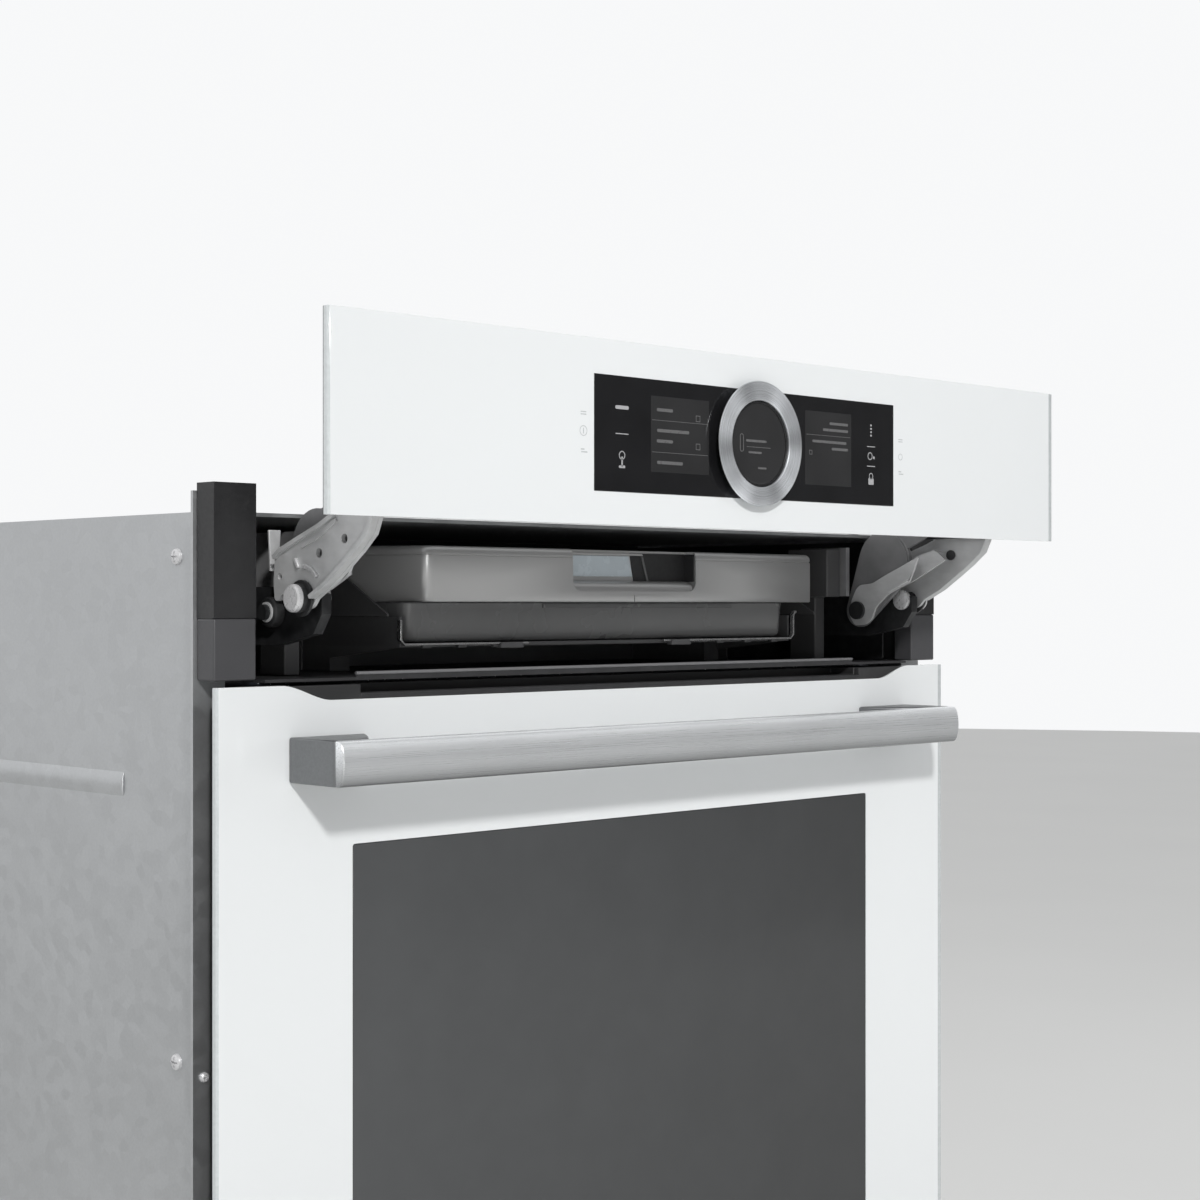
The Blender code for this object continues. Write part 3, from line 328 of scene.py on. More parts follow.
    strip = Finish("strip_steel", (0.5, 0.5, 0.5), 0.3, 0.9)
    strip.tint(strip.noise(1.0, (20, 1500, 1500)), 0.92, 1.05).gloss(strip.noise(200), 0.2, 0.32)
    strip.bump(strip.noise(1200), 0.04, 0.05)

    heater = grained("heater_tube", (0.2, 0.185, 0.17), 0.45, 0.85, (60, 0.6, 1.3), (200, 0.38, 0.6),
                     (900, 0.1, 0.1))
    heater.blend(heater.span(heater.noise(35), 0.0, 0.5, 0.5, 0.7), (0.16, 0.12, 0.16))

    grained("motor_steel", (0.42, 0.43, 0.44), 0.42, 1.0, (90, 0.9, 1.08), (400, 0.36, 0.5),
            (1000, 0.06, 0.08))

    wool = Finish("mineral_wool", (0.52, 0.46, 0.3), 0.95)
    fibres = wool.noise(220, (1, 0.3, 1), 6.0)
    wool.tint(fibres, 0.6, 1.3).bump(fibres, 0.7, 1.5)

    braid = Finish("silicone_braid", (0.05, 0.052, 0.056), 0.6, IOR=1.42)
    weave = braid.node("ShaderNodeTexWave", wave_type="BANDS", bands_direction="DIAGONAL")
    weave.inputs["Scale"].default_value = 260
    braid.link(braid.place, weave.inputs["Vector"])
    braid.tint(weave.outputs["Fac"], 0.6, 1.4, 0.0, 1.0).bump(weave.outputs["Fac"], 0.4, 0.4)
    braid.gloss(braid.noise(200), 0.5, 0.7)

    grained("screen_lit", (0.026, 0.026, 0.027), 0.12, 0.0, (25, 0.85, 1.15), (20, 0.08, 0.16), IOR=1.5)
    grained("screen_ink", (0.13, 0.13, 0.132), 0.3, 0.0, (900, 0.85, 1.1), (300, 0.25, 0.4))
    grained("symbol_white", (0.4, 0.4, 0.41), 0.35, 0.0, (900, 0.9, 1.08), (300, 0.3, 0.42))
    grained("symbol_grey", (0.47, 0.49, 0.5), 0.3, 0.0, (900, 0.93, 1.05), (300, 0.25, 0.36),
            Coat_Weight=1.0, Coat_Roughness=0.05)

    grained("brass_screw", (0.72, 0.55, 0.3), 0.32, 1.0, (500, 0.85, 1.1), (300, 0.25, 0.42),
            (900, 0.05, 0.05))


# ---------------------------------------------------------------- shapes


def to_world(x, depth, height):
    return Vector((x, depth + DOOR_PLANE, height)) * MM


def place(axis, u, v, w):
    """Point from two coordinates across an axis and one along it."""
    if axis == "X":
        return to_world(w, u, v)
    if axis == "Y":
        return to_world(u, w, v)
    return to_world(u, v, w)


def new_object(bm, name="shape"):
    bmesh.ops.recalc_face_normals(bm, faces=bm.faces)
    mesh = bpy.data.meshes.new(name)
    bm.to_mesh(mesh)
    bm.free()
    item = bpy.data.objects.new(name, mesh)
    bpy.context.scene.collection.objects.link(item)
    return item


def prism(axis, outline, low, high):
    bm = bmesh.new()
    ends = [[bm.verts.new(place(axis, u, v, w)) for u, v in outline] for w in (low, high)]
    bm.faces.new(ends[0])
    bm.faces.new(list(reversed(ends[1])))
    count = len(outline)
    for i in range(count):
        j = (i + 1) % count
        bm.faces.new((ends[0][i], ends[0][j], ends[1][j], ends[1][i]))
    return new_object(bm)


def block(x, depth, height):
    outline = [(x[0], depth[0]), (x[1], depth[0]), (x[1], depth[1]), (x[0], depth[1])]
    return prism("Z", outline, height[0], height[1])


def arc(centre, radius, start, end, steps):
    """Points of an arc; angles in degrees."""
    turn = [math.radians(start + (end - start) * i / steps) for i in range(steps + 1)]
    return [(centre[0] + radius * math.cos(a), centre[1] + radius * math.sin(a)) for a in turn]


def circle(centre, radius, count=32):
    return arc(centre, radius, 0, 360 * (count - 1) / count, count - 1)


def rod(axis, centre, radius, low, high, count=32):
    return prism(axis, circle(centre, radius, count), low, high)


def turned(axis, centre, profile, count=48):
    bm = bmesh.new()
    rings = []
    for radius, position in profile:
        if radius == 0:
            rings.append([bm.verts.new(place(axis, centre[0], centre[1], position))])
        else:
            rings.append([bm.verts.new(place(axis, u, v, position)) for u,
                          v in circle(centre, radius, count)])
    pairs = list(zip(rings, rings[1:]))
    if len(rings[0]) > 1:
        pairs.append((rings[-1], rings[0]))
    for a, b in pairs:
        if len(a) == len(b) == 1:
            continue
        for i in range(count):
            j = (i + 1) % count
            corners = [a[i % len(a)], a[j % len(a)], b[j % len(b)], b[i % len(b)]]
            bm.faces.new(list(dict.fromkeys(corners)))
    return new_object(bm)


def tube(points, radius, closed=False, sides=3):
    """Round wire along (x, depth, height) points."""
    curve = bpy.data.curves.new("wire", "CURVE")
    curve.dimensions = "3D"
    curve.bevel_depth = radius * MM
    curve.bevel_resolution = sides
    curve.use_fill_caps = True
    spline = curve.splines.new("POLY")
    spline.points.add(len(points) - 1)
    for point, spot in zip(spline.points, points):
        point.co = (*to_world(*spot), 1.0)
    spline.use_cyclic_u = closed
    guide = bpy.data.objects.new("wire", curve)
    bpy.context.scene.collection.objects.link(guide)
    graph = bpy.context.evaluated_depsgraph_get()
    bm = bmesh.new()
    bm.from_mesh(guide.evaluated_get(graph).to_mesh())
    bmesh.ops.remove_doubles(bm, verts=bm.verts, dist=0.0000005)
    bpy.data.objects.remove(guide)
    return new_object(bm)


def rounded(u, v, radius, corners=(1, 1, 1, 1), steps=6):
    """Rectangle outline with a radius on the chosen corners: low right, high right, high left, low left."""
    centres = [
        (u[1] - radius, v[0] + radius, -90),
        (u[1] - radius, v[1] - radius, 0),
        (u[0] + radius, v[1] - radius, 90),
        (u[0] + radius, v[0] + radius, 180),
    ]
    sharp = [(u[1], v[0]), (u[1], v[1]), (u[0], v[1]), (u[0], v[0])]
    outline = []
    for (cu, cv, start), corner, use in zip(centres, sharp, corners):
        outline += arc((cu, cv), radius, start, start + 90, steps) if use else [corner]
    return outline


def strip(path, thickness):
    """Outline of a sheet of one thickness that follows a path of points on its left side."""
    count = len(path)
    outer = []
    for i, (u, v) in enumerate(path):
        before, after = path[max(i - 1, 0)], path[min(i + 1, count - 1)]
        du, dv = after[0] - before[0], after[1] - before[1]
        size = math.hypot(du, dv) or 1.0
        outer.append((u - dv / size * thickness, v + du / size * thickness))
    return list(path) + outer[::-1]


def corner_curve(before, corner, after, reach, steps):
    """Points of the curve that takes the place of a corner, starting a given reach away from it."""
    near = min(reach, (corner - before).length / 2.2, (after - corner).length / 2.2)
    start = corner + (before - corner).normalized() * near
    end = corner + (after - corner).normalized() * near
    turns = [step / steps for step in range(steps + 1)]
    return [(1 - t) ** 2 * start + 2 * t * (1 - t) * corner + t**2 * end for t in turns]


def softened(points, reach, steps=4):
    """Outline whose corners are rounded off by a given reach."""
    count = len(points)
    outline = []
    for i in range(count):
        corners = [Vector(points[(i + k) % count]) for k in (-1, 0, 1)]
        outline += [tuple(point) for point in corner_curve(*corners, reach, steps)]
    return outline


def bulge(radius, edge, rise, steps):
    """Profile points of a shallow dome, between its rim and its middle."""
    turns = [math.pi / 2 * i / steps for i in range(1, steps)]
    return [(radius * math.cos(t), edge - rise * math.sin(t)) for t in turns]


def cut(item, *tools):
    """Take other shapes away from one."""
    return combine(item, joined(*tools), "DIFFERENCE")


def fuse(item, *tools):
    for tool in tools:
        combine(item, tool, "UNION")
    return item


def combine(item, tool, operation):
    modifier = item.modifiers.new("combine", "BOOLEAN")
    modifier.operation = operation
    modifier.solver = "EXACT"
    modifier.object = tool
    bpy.context.view_layer.update()
    graph = bpy.context.evaluated_depsgraph_get()
    mesh = bpy.data.meshes.new_from_object(item.evaluated_get(graph))
    item.modifiers.clear()
    item.data = mesh
    bpy.data.objects.remove(tool)
    return item


def joined(*tools):
    """Several shapes as one object."""
    bm = bmesh.new()
    for tool in tools:
        bm.from_mesh(tool.data)
        bpy.data.objects.remove(tool)
    return new_object(bm)


def edge_round(item, width, segments=3, angle=35):
    """Round off the sharp edges."""
    modifier = item.modifiers.new("edge", "BEVEL")
    modifier.width = width * MM
    modifier.segments = segments
    modifier.limit_method = "ANGLE"
    modifier.angle_limit = math.radians(angle)
    modifier.use_clamp_overlap = True
    return item


def piece(name, item, finish, body, replaces=(), smooth=35):
    """Name a shape, finish it, and let it ride on its body."""
    item.name = name
    item.data.name = name
    item.data.materials.clear()
    for label in [finish] if isinstance(finish, str) else finish:
        item.data.materials.append(FINISH[label])
    item.data.shade_smooth()
    item.data.set_sharp_from_angle(angle=math.radians(smooth))
    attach(item, body)
    if replaces:
        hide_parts(*replaces)
    return item


def paint_faces(item, index, test):
    """Give faces whose centre and normal pass a test the material slot of that index."""
    for face in item.data.polygons:
        if test(face.center / MM, face.normal):
            face.material_index = index


def span(side, inner, outer):
    """Range across X of something that lies on one side of the middle."""
    return tuple(sorted((side * inner, side * outer)))


def ease(t):
    """Smooth step from 0 to 1."""
    return 3 * t * t - 2 * t**3


SIDES = ((-1, "left"), (1, "right"))

# ---------------------------------------------------------------- glass fronts

EDGE_LEFT = 1.2         # width of the glass's ground edge at each end
EDGE_RIGHT = 5.0
EDGE_SLOPE = 1.0        # how far the ground edge runs back
FILM = 0.4              # space behind the glass for its paint
NOTCH_START = 226.0     # the notch's curve in the door's top edge, out from the middle
NOTCH_RUN = 32.0
NOTCH_DEPTH = 8.0


def glass_front(low, high):
    """Sheet of glass with a ground edge on its two ends, wider on the right."""
    outline = [
        (low[0], high[1] - FILM),
        (low[0], low[1] + EDGE_SLOPE),
        (low[0] + EDGE_LEFT, low[1]),
        (high[0] - EDGE_RIGHT, low[1]),
        (high[0], low[1] + EDGE_SLOPE),
        (high[0], high[1] - FILM),
    ]
    return prism("Z", outline, low[2], high[2])


def finish_glass(name, item, node, body):
    edge_round(item, 0.35, 2, 8)
    piece(name, item, ("white_glass", "glass_edge"), body, (node,), smooth=4)
    paint_faces(item, 1, lambda centre, normal: abs(normal.x) > 0.15)


def build_door():
    low, high = room("door_glass")
    glass = glass_front(low, high)
    window_low, window_high = room("window_glass")
    margin = 0.3
    way = prism(
        "Y",
        rounded(
            (window_low[0] - margin, window_high[0] + margin),
            (window_low[2] - margin, window_high[2] + margin), 1.5
        ),
        low[1] - 5,
        high[1] + 5,
    )
    top = high[2]
    deep = top - NOTCH_DEPTH
    slope = []
    for i in range(25):
        t = i / 24
        slope.append((NOTCH_START + NOTCH_RUN * t, deep + (top - deep) * ease(t)))
    ramp = [(NOTCH_START + NOTCH_RUN, top + 5), *reversed(slope)]
    notch = ramp + [(-x, z) for x, z in reversed(ramp)]
    glass = cut(cut(glass, way), prism("Y", notch, low[1] - 5, high[1] + 5))
    finish_glass("door_glass_front", glass, "door_glass", "door")

    film = block((low[0] + 0.3, high[0] - 0.3), (high[1] - FILM + 0.05, high[1]), (low[2] + 0.3, deep - 0.4))
    hole = block((window_low[0], window_high[0]), (high[1] - 5, high[1] + 5), (window_low[2], window_high[2]))
    piece("door_paint_film", cut(film, hole), "black_frit", "door")

    pane = prism(
        "Y", rounded((window_low[0], window_high[0]), (window_low[2], window_high[2]), 1.2), window_low[1],
        window_high[1]
    )
    piece("door_window", edge_round(pane, 0.25, 2), "window_glass", "door", ("window_glass",))

    low, high = room("door_inner_glass")
    for name, depth, outer, inner in (
        ("inner_glass_border", high[1] + 0.05, (240, 50, 466), (196, 92, 420)),
        ("middle_glass_border", room("door_middle_glass")[1][1] + 0.05, (244, 37, 478), (205, 82, 430)),
    ):
        frame_out = prism("Y", rounded((-outer[0], outer[0]), outer[1:], 10), depth, depth + 0.15)
        frame_in = prism("Y", rounded((-inner[0], inner[0]), inner[1:], 14), depth - 3, depth + 3)
        piece(name, cut(frame_out, frame_in), "black_frit", "door")

    build_trim()
    build_handle()


def build_trim():
    low, high = room("door_top_trim")
    glass_back = room("door_glass")[1][1]
    slot_half = 206.0
    trim = block((low[0], high[0]), (low[1], high[1]), (low[2], high[2]))
    mouth = block((-slot_half, slot_half), (low[1] - 5, high[1] - 5.7), (high[2] - 4.3, high[2] + 5))
    channel = block((-slot_half + 1, slot_half - 1), (glass_back + 2.7, high[1] - 5.7),
                    (high[2] - 9.5, high[2] + 5))
    trim = cut(cut(trim, mouth), channel)
    piece("door_top_trim_detail", edge_round(trim, 0.6), "trim_plastic", "door",
          ("door_top_trim",))

    # curved lip of the trim that fills the notch in the glass
    lip = []
    for i in range(13):
        t = i / 12
        lip.append((224 + 31 * t, high[2] - NOTCH_DEPTH + 7.2 * ease(t)))
    for side, label in SIDES:
        edge = [(side * x, z) for x, z in lip]
        outline = edge + [(side * 255, high[2]), (side * (slot_half + 1), high[2]),
                          (side * (slot_half + 1), high[2] - 8)]
        wing = prism("Y", outline, 1.0, glass_back + 0.4)
        piece(f"trim_wing_{label}", edge_round(wing, 0.4), "trim_plastic", "door")
    sill = block((-slot_half - 1, slot_half + 1), (1.0, glass_back + 0.4), (high[2] - 7.6, high[2] - 4.6))
    piece("trim_sill", edge_round(sill, 0.6), "black_paint", "door")


def build_handle():
    low, high = room("handle_bar")
    middle = (low[2] + high[2]) / 2
    half = (high[2] - low[2]) / 2
    thick = high[1] - low[1]
    profile = []
    for i in range(21):
        a = math.radians(-90 + 9 * i)
        bulge = 1.6 + (thick - 1.6) * max(0.0, math.cos(a)) ** 0.72
        profile.append((high[1] - bulge, middle + half * math.sin(a)))
    profile += [(high[1], high[2]), (high[1], low[2])]
    bar = prism("X", profile, low[0], high[0])
    piece(
        "handle_bar_front", edge_round(bar, 0.9, 4, 40), "handle_aluminium", "door",
        ("handle_bar",)
    )
    for side, label in SIDES:
        low, high = room(f"handle_post_{label}")
        inner, outer = 205.0, 254.0
        back = low[1]
        outline = [(outer, high[1]), (outer, back), (238.0, back)]
        for i in range(1, 9):
            t = i / 8
            outline.append((238 - 33 * t, back + (high[1] - back) * (0.15 * t + 0.85 * t**1.5)))
        outline[-1] = (inner, high[1])
        post = prism("Z", [(side * x, depth) for x, depth in outline], low[2], high[2])
        piece(
            f"handle_post_{label}_body", edge_round(post, 1.1, 3, 30), "cap_aluminium", "door",
            (f"handle_post_{label}",),
        )


# ---------------------------------------------------------------- control panel


def build_panel():
    low, high = room("panel_glass")
    show_low, show_high = room("display_window")
    glass = glass_front(low, high)
    margin = 0.15
    pane_x = (-125.2, 126.4)
    pane_height = (low[2] + 17.5, low[2] + 77.9)
    way = block(
        (pane_x[0] - margin, pane_x[1] + margin), (low[1] - 5, high[1] + 5),
        (pane_height[0] - margin, pane_height[1] + margin),
    )
    finish_glass("panel_glass_front", cut(glass, way), "panel_glass", "panel")
    film = block((low[0] + 0.2, high[0] - 0.2), (high[1] - FILM + 0.05, high[1]),
                 (low[2] + 0.2, high[2] - 0.2))
    hole = block(pane_x, (high[1] - 5, high[1] + 5), pane_height)
    piece("panel_paint_film", cut(film, hole), "black_frit", "panel")
    pane = block(pane_x, (show_low[1], show_high[1]), pane_height)
    piece("display_glass", edge_round(pane, 0.15, 2), "black_glass", "panel",
          ("display_window",))
    build_graphics(low)
    build_dial()


def build_graphics(low):
    """Plain bars and simple signs on the display and beside it."""
    front = low[1]
    base = low[2]

    def plate(x, height, width, tall, rise=0.06, radius=0.0):
        u = (x - width / 2, x + width / 2)
        v = (base + height - tall / 2, base + height + tall / 2)
        outline = [(u[0], v[0]), (u[1], v[0]), (u[1], v[1]), (u[0], v[1])]
        if radius:
            outline = rounded(u, v, radius, steps=3)
        return prism("Y", outline, front - rise, front + 0.02)

    def ring(x, height, radius, line, rise=0.06, count=24):
        outer = rod("Y", (x, base + height), radius, front - rise, front + 0.02, count)
        inner = rod("Y", (x, base + height), radius - line, front - 1, front + 1, count)
        return cut(outer, inner)

    def frame_box(x, height, size, line):
        return cut(plate(x, height, size, size), block(
            (x - size / 2 + line, x + size / 2 - line), (front - 1, front + 1),
            (base + height - size / 2 + line, base + height + size / 2 - line)))

    screens = joined(plate(-60.4, 49.2, 45.6, 40.4, 0.03), plate(65, 48.6, 42, 42.5, 0.03))
    piece("display_screens", screens, "screen_lit", "panel")

    rows = [(-72.5, 62.2, 12.5, 1.7), (-66, 51.2, 25, 1.7), (-72.5, 45.6, 12.5, 1.7), (-68.5, 34.2, 20, 1.7)]
    rows += [(74.5, 63.4, 17, 1.5), (71.5, 59.6, 23, 1.5), (66, 52.6, 31, 1.5), (75.5, 48.8, 15, 1.5)]
    inks = [plate(*row, radius=0.7) for row in rows]
    inks += [plate(-60.4, 56.6, 44, 0.25), plate(-60.4, 39.6, 44, 0.25), plate(65, 56.2, 40, 0.25)]
    inks += [frame_box(-46.4, 59.2, 3.4, 0.35), frame_box(-46.4, 44.0, 3.4, 0.35),
             frame_box(49, 46, 2.6, 0.35)]
    piece("display_rows", joined(*inks), "screen_ink", "panel")

    signs = [plate(-105, 61.6, 10, 1.9, radius=0.8), plate(-105, 47.8, 9.6, 0.5)]
    signs += [ring(-105, 36.6, 2.3, 0.5), plate(-105, 33.2, 1.0, 5.4),
              plate(-105, 30.6, 4.6, 1.4, radius=0.5)]
    signs += [plate(104.7, 64.6 - 2.0 * i, 1.5, 1.1, radius=0.4) for i in range(4)]
    signs += [plate(104.7, 52.0, 7.6, 0.5), plate(104.7, 40.4, 7.6, 0.5)]
    signs += [ring(103.8, 46.4, 2.3, 0.55), plate(107.4, 45.6, 1.6, 1.6, radius=0.5)]
    signs += [ring(104.7, 34.6, 1.9, 0.5), plate(104.7, 31.4, 5.0, 3.8, radius=0.5)]
    piece("display_signs", joined(*signs), "symbol_white", "panel")

    faint = []
    for side in (-1, 1):
        x = side * 133.2
        faint += [plate(x, 57.7, 4.0, 0.5), plate(x, 56.4, 4.0, 0.5), plate(x + 0.6, 37.0, 4.4, 0.6)]
        faint += [plate(x - 0.6, 38.4, 2.6, 0.6)]
    faint += [ring(-133.2, 47.9, 2.7, 0.35), plate(-133.2, 47.9, 0.5, 3.0), ring(133.2, 47.3, 2.0, 0.35)]
    piece("panel_symbols", joined(*faint), "symbol_grey", "panel")


def build_dial():
    low, high = room("dial_ring")
    axis = ((low[0] + high[0]) / 2, (low[2] + high[2]) / 2)
    outer = 34.9
    inner = 24.0
    front, back = low[1] + 2.5, high[1]
    profile = [(inner + 1.2, back), (26.4, back), (27.0, back - 0.4), (outer - 0.7, front + 1.3),
               (outer, front + 0.9)]
    profile += [(outer, front + 0.5), (outer - 0.2, front + 0.2), (outer - 0.6, front + 0.05),
                (inner + 1.0, front)]
    profile += [(inner + 0.5, front + 0.15), (inner + 0.1, front + 0.6), (inner, front + 1.5)]
    ring = turned("Y", axis, profile, 144)
    piece("dial_ring_turned", ring, "dial_aluminium", "dial", ("dial_ring",), smooth=30)
    rim = turned("Y", axis, [(inner - 0.05, front + 2.0), (inner - 0.05, back), (22.6, back),
                             (22.6, front + 1.6),
                             (22.9, front + 1.2), (23.6, front + 1.2)], 96)
    piece("dial_inner_rim", rim, "black_frit", "panel")
    glass = [(0, back), (22.5, back), (22.5, front + 1.9)]
    glass += bulge(22.5, front + 1.9, 0.4, 8)
    glass += [(0, front + 1.5)]
    piece("dial_glass", turned("Y", axis, glass, 96), "screen_lit", "panel", ("dial_centre",))
    face = front + 1.45
    marks = []
    for x, height, width, tall in ((-3, 1.4, 17, 1.3), (-1, -2.0, 20, 0.3), (-4, -5.0, 11, 1.1),
                                   (2, -13.5, 7, 1.0)):
        u = (axis[0] + x - width / 2, axis[0] + x + width / 2)
        v = (axis[1] + height - tall / 2, axis[1] + height + tall / 2)
        marks.append(prism("Y", rounded(u, v, tall * 0.45, steps=3), face - 0.05, face + 0.2))
    slot_ring = cut(
        prism("Y", rounded((axis[0] - 16.6, axis[0] - 13.6), (axis[1] - 5, axis[1] + 5), 1.4), face - 0.05,
              face + 0.3),
        prism("Y", rounded((axis[0] - 16.2, axis[0] - 14.0), (axis[1] - 4.6, axis[1] + 4.6), 1.0), face - 1,
              face + 1),
    )
    marks.append(slot_ring)
    piece("dial_rows", joined(*marks), "screen_ink", "panel")


# ---------------------------------------------------------------- lift mechanism


def build_arms():
    joints = {joint["name"]: joint for joint in frame["joints"]}

    def pivot(name):
        spot = joints[name]["pos_m"]
        return (spot[1] / MM - DOOR_PLANE, spot[2] / MM)

    arm_foot, link_foot, arm_head = pivot("arm_pivot"), pivot("link_pivot"), pivot("panel_pivot")
    link_head = (arm_head[0] + link_foot[0] - arm_foot[0], arm_head[1] + link_foot[1] - arm_foot[1])
    top = arm_foot[1] - 44.0
    inner, outer = 249.0, 251.5
    upper = [(15, 43.4), (16, 52), (14.6, 66), (9, 69.5), (-6, 75), (-22.5, 80.8), (-34, 86), (-41, 94),
             (-46, 106)]
    head = [(-54, 109.4), (-64, 109), (-69.7, 103)]
    lower = [(-69.5, 83), (-65.5, 74.5), (-56, 66.5), (-45, 58.7), (-33, 50.5), (-19.5, 43.6)]
    lower += [(-16.5, 39.6), (-9, 37.6), (-2, 39.4), (1.5, 43.5), (5, 46.5), (9, 46), (12.2, 42.4)]
    outline = [(depth, top + height) for depth, height in upper + head + lower]
    small_holes = [((10.6, top + 55), 1.7), ((-22, top + 66.5), 2.4), ((-42.4, top + 73.2), 2.4)]
    for side, label in SIDES:
        plate = prism("X", softened(outline, 2.2), *span(side, inner, outer))
        ways = [
            rod("X", centre, radius, *span(side, inner - 5, outer + 5), count=28)
            for centre, radius in [(arm_foot, 5.4), (arm_head, 4.9), *small_holes]
        ]
        arm = cut(plate, *ways)
        # rolled upper edge, and a wide flange turned in along the lower edge
        rim_up = [(depth - 0.2, top + height - 0.2) for depth, height in upper[2:8]]
        fuse(arm, prism("X", strip(rim_up, 2.2), *span(side, inner + 0.4, outer + 2.4)))
        rim_low = [(depth + 0.1, top + height + 0.2) for depth, height in [(-69.4, 101)] + lower[:6]]
        fuse(arm, prism("X", strip(rim_low, 2.0), *span(side, inner - 0.3, outer + 4.4)))
        # pressed crescents above the pivot and a long rib
        spine = strip([(depth, top + height) for depth, height in ((-8, 71), (-24, 76.5), (-36, 83.5))], 2.0)
        fuse(arm, prism("X", softened(spine, 0.7), *span(side, outer - 0.5, outer + 1.0)))
        piece(
            f"lift_arm_{label}_pressed", edge_round(arm, 0.4, 2, 30), "pressed_steel", "lift_arms",
            (f"lift_arm_{label}",),
        )
        # painted highlight, partly: the embossed bar and crescent are raised strips, and their paler,
        # glossier bright_pin finish stands in for highlights along the pressings
        raised = 1.5
        bar = [(arm_foot[0] + 4, arm_foot[1] + 14.5), (arm_foot[0] + 7, arm_foot[1] + 19.5)]
        crescent = arc(arm_foot, 17.2, 92, 138, 8)
        for i, rib in enumerate((strip(bar, 2.4), strip(crescent, 2.4))):
            emboss = prism("X", softened(rib, 0.8, 2), *span(side, outer - 0.3, outer + raised))
            piece(f"arm_emboss_{label}_{i}", edge_round(emboss, 0.6, 3, 20), "bright_pin", "lift_arms")
        for centre, radius in small_holes:
            plug = rod("X", centre, radius + 0.9, *span(side, inner - 1.3, inner - 0.1), count=24)
            piece(f"arm_plug_{label}_{centre[0]:.0f}", plug, "black_paint", "lift_arms")

        disc = (0.5, top + 69.0)
        web = prism("X", belt([(link_foot, 11.0), (disc, 21.0)]), *span(side, 233.0, 236.0))
        fuse(web, prism("X", belt([((-2, top + 80), 9.0), (link_head, 7.2)]), *span(side, 233.2, 235.8)))
        web = cut(web, *[rod("X", c, 4.5, *span(side, 228, 241)) for c in (link_foot, link_head)])
        ridge = strip(arc(disc, 19.6, 100, 200, 16), 1.6)
        fuse(web, prism("X", ridge, *span(side, 232.4, 233.5)))
        piece(
            f"rear_link_{label}_pressed", edge_round(web, 0.5, 2, 30), "link_steel", "rear_links",
            (f"rear_link_{label}",),
        )
        # satin strap along the link's inner face, with a pad over its foot
        strap = [(27, 43), (22.5, 51.5), (19.5, 54), (9, 55), (-2, 60.4), (-14.5, 65.8), (-26.5, 71.4),
                 (-28.5, 72.2)]
        strap += [(-26.4, 66), (-21.5, 55.8), (-14.5, 52.4), (-4.4, 47.8), (2, 42.6), (6.4, 38.6), (9, 31)]
        strap += [(15, 27.4), (24, 27), (28, 33)]
        face = prism("X", softened([(d, top + h) for d, h in strap], 2.0), *span(side, 231.2, 233.0))
        lip = strip([(d, top + h + 0.8) for d, h in ((-21, 55.4), (-14.5, 52.2), (-4.4, 47.6))], 1.3)
        fuse(face, prism("X", lip, *span(side, 229.8, 232.6)))
        face = cut(face, rod("X", link_foot, 4.5, *span(side, 226, 241)))
        piece(f"link_strap_{label}", edge_round(face, 0.5, 2, 30), "pressed_steel", "rear_links")
        # strap on the arm's inner side, held by a folded web
        strap = [(13.5, 56.5), (-4, 63.6), (-21, 71), (-38, 76), (-45.6, 70), (-34.8, 64), (-20, 56.4),
                 (2.5, 47), (9.5, 48)]
        face = prism("X", softened([(d, top + h) for d, h in strap], 2.0), *span(side, 237.9, 239.4))
        fold = strip([(d, top + h - 0.3) for d, h in ((-37, 75.6), (-21, 71), (-4, 63.6), (13.2, 56.6))], 1.4)
        fuse(face, prism("X", fold, *span(side, 238.2, inner + 0.3)))
        piece(f"arm_strap_{label}", edge_round(face, 0.4, 2, 30), "pressed_steel", "lift_arms")
        # bright rivet on the arm's pivot with its inner boss, dark roller and stub on the link's
        rivet = [(0, side * 259.4), (5.9, side * 259.4), (6.9, side * 258.7), (7.1, side * 257.6)]
        rivet += [(7.1, side * 253.2), (0, side * 253.2)]
        piece(f"arm_rivet_{label}", turned("X", arm_foot, rivet), "bright_pin", "carriage")
        washer = [(6.5, side * 253.4), (9.2, side * 253.4), (9.2, side * 251.8), (6.5, side * 251.8)]
        piece(f"arm_washer_{label}", turned("X", arm_foot, washer), "blackened_steel", "carriage")
        boss = [(0, side * 238.0), (5.4, side * 238.0), (6.6, side * 238.8), (6.6, side * 241),
                (0, side * 241)]
        piece(f"arm_boss_{label}", turned("X", arm_foot, boss), "bright_pin", "carriage")
        roller = [(0, side * 252), (6.8, side * 252), (7.8, side * 251.2), (7.8, side * 246.5),
                  (0, side * 246.5)]
        piece(f"link_roller_{label}", turned("X", link_foot, roller), "blackened_steel", "carriage")
        ring = [(3.8, side * 252.7), (5.2, side * 252.7), (5.2, side * 251.6), (3.8, side * 251.6)]
        piece(f"link_ring_{label}", turned("X", link_foot, ring), "pressed_steel", "carriage")
        ear = [(244.4, top + 58), (249.6, top + 58), (250.6, top + 79), (243.2, top + 79)]
        ear = prism("Y", [(side * x, height) for x, height in ear], 21.0, 22.4)
        piece(f"carriage_ear_{label}", edge_round(ear, 0.3), "pressed_steel", "carriage")


def belt(discs, count=40):
    """Convex outline round a set of (centre, radius) discs."""
    points = sorted({p for centre, radius in discs for p in circle(centre, radius, count)})

    def half(sequence):
        chain = []
        for p in sequence:
            while len(chain) > 1:
                a, b = chain[-2], chain[-1]
                if (b[0] - a[0]) * (p[1] - a[1]) - (b[1] - a[1]) * (p[0] - a[0]) > 0.001:
                    break
                chain.pop()
            chain.append(p)
        return chain[:-1]

    return half(points) + half(reversed(points))


# ---------------------------------------------------------------- water tank


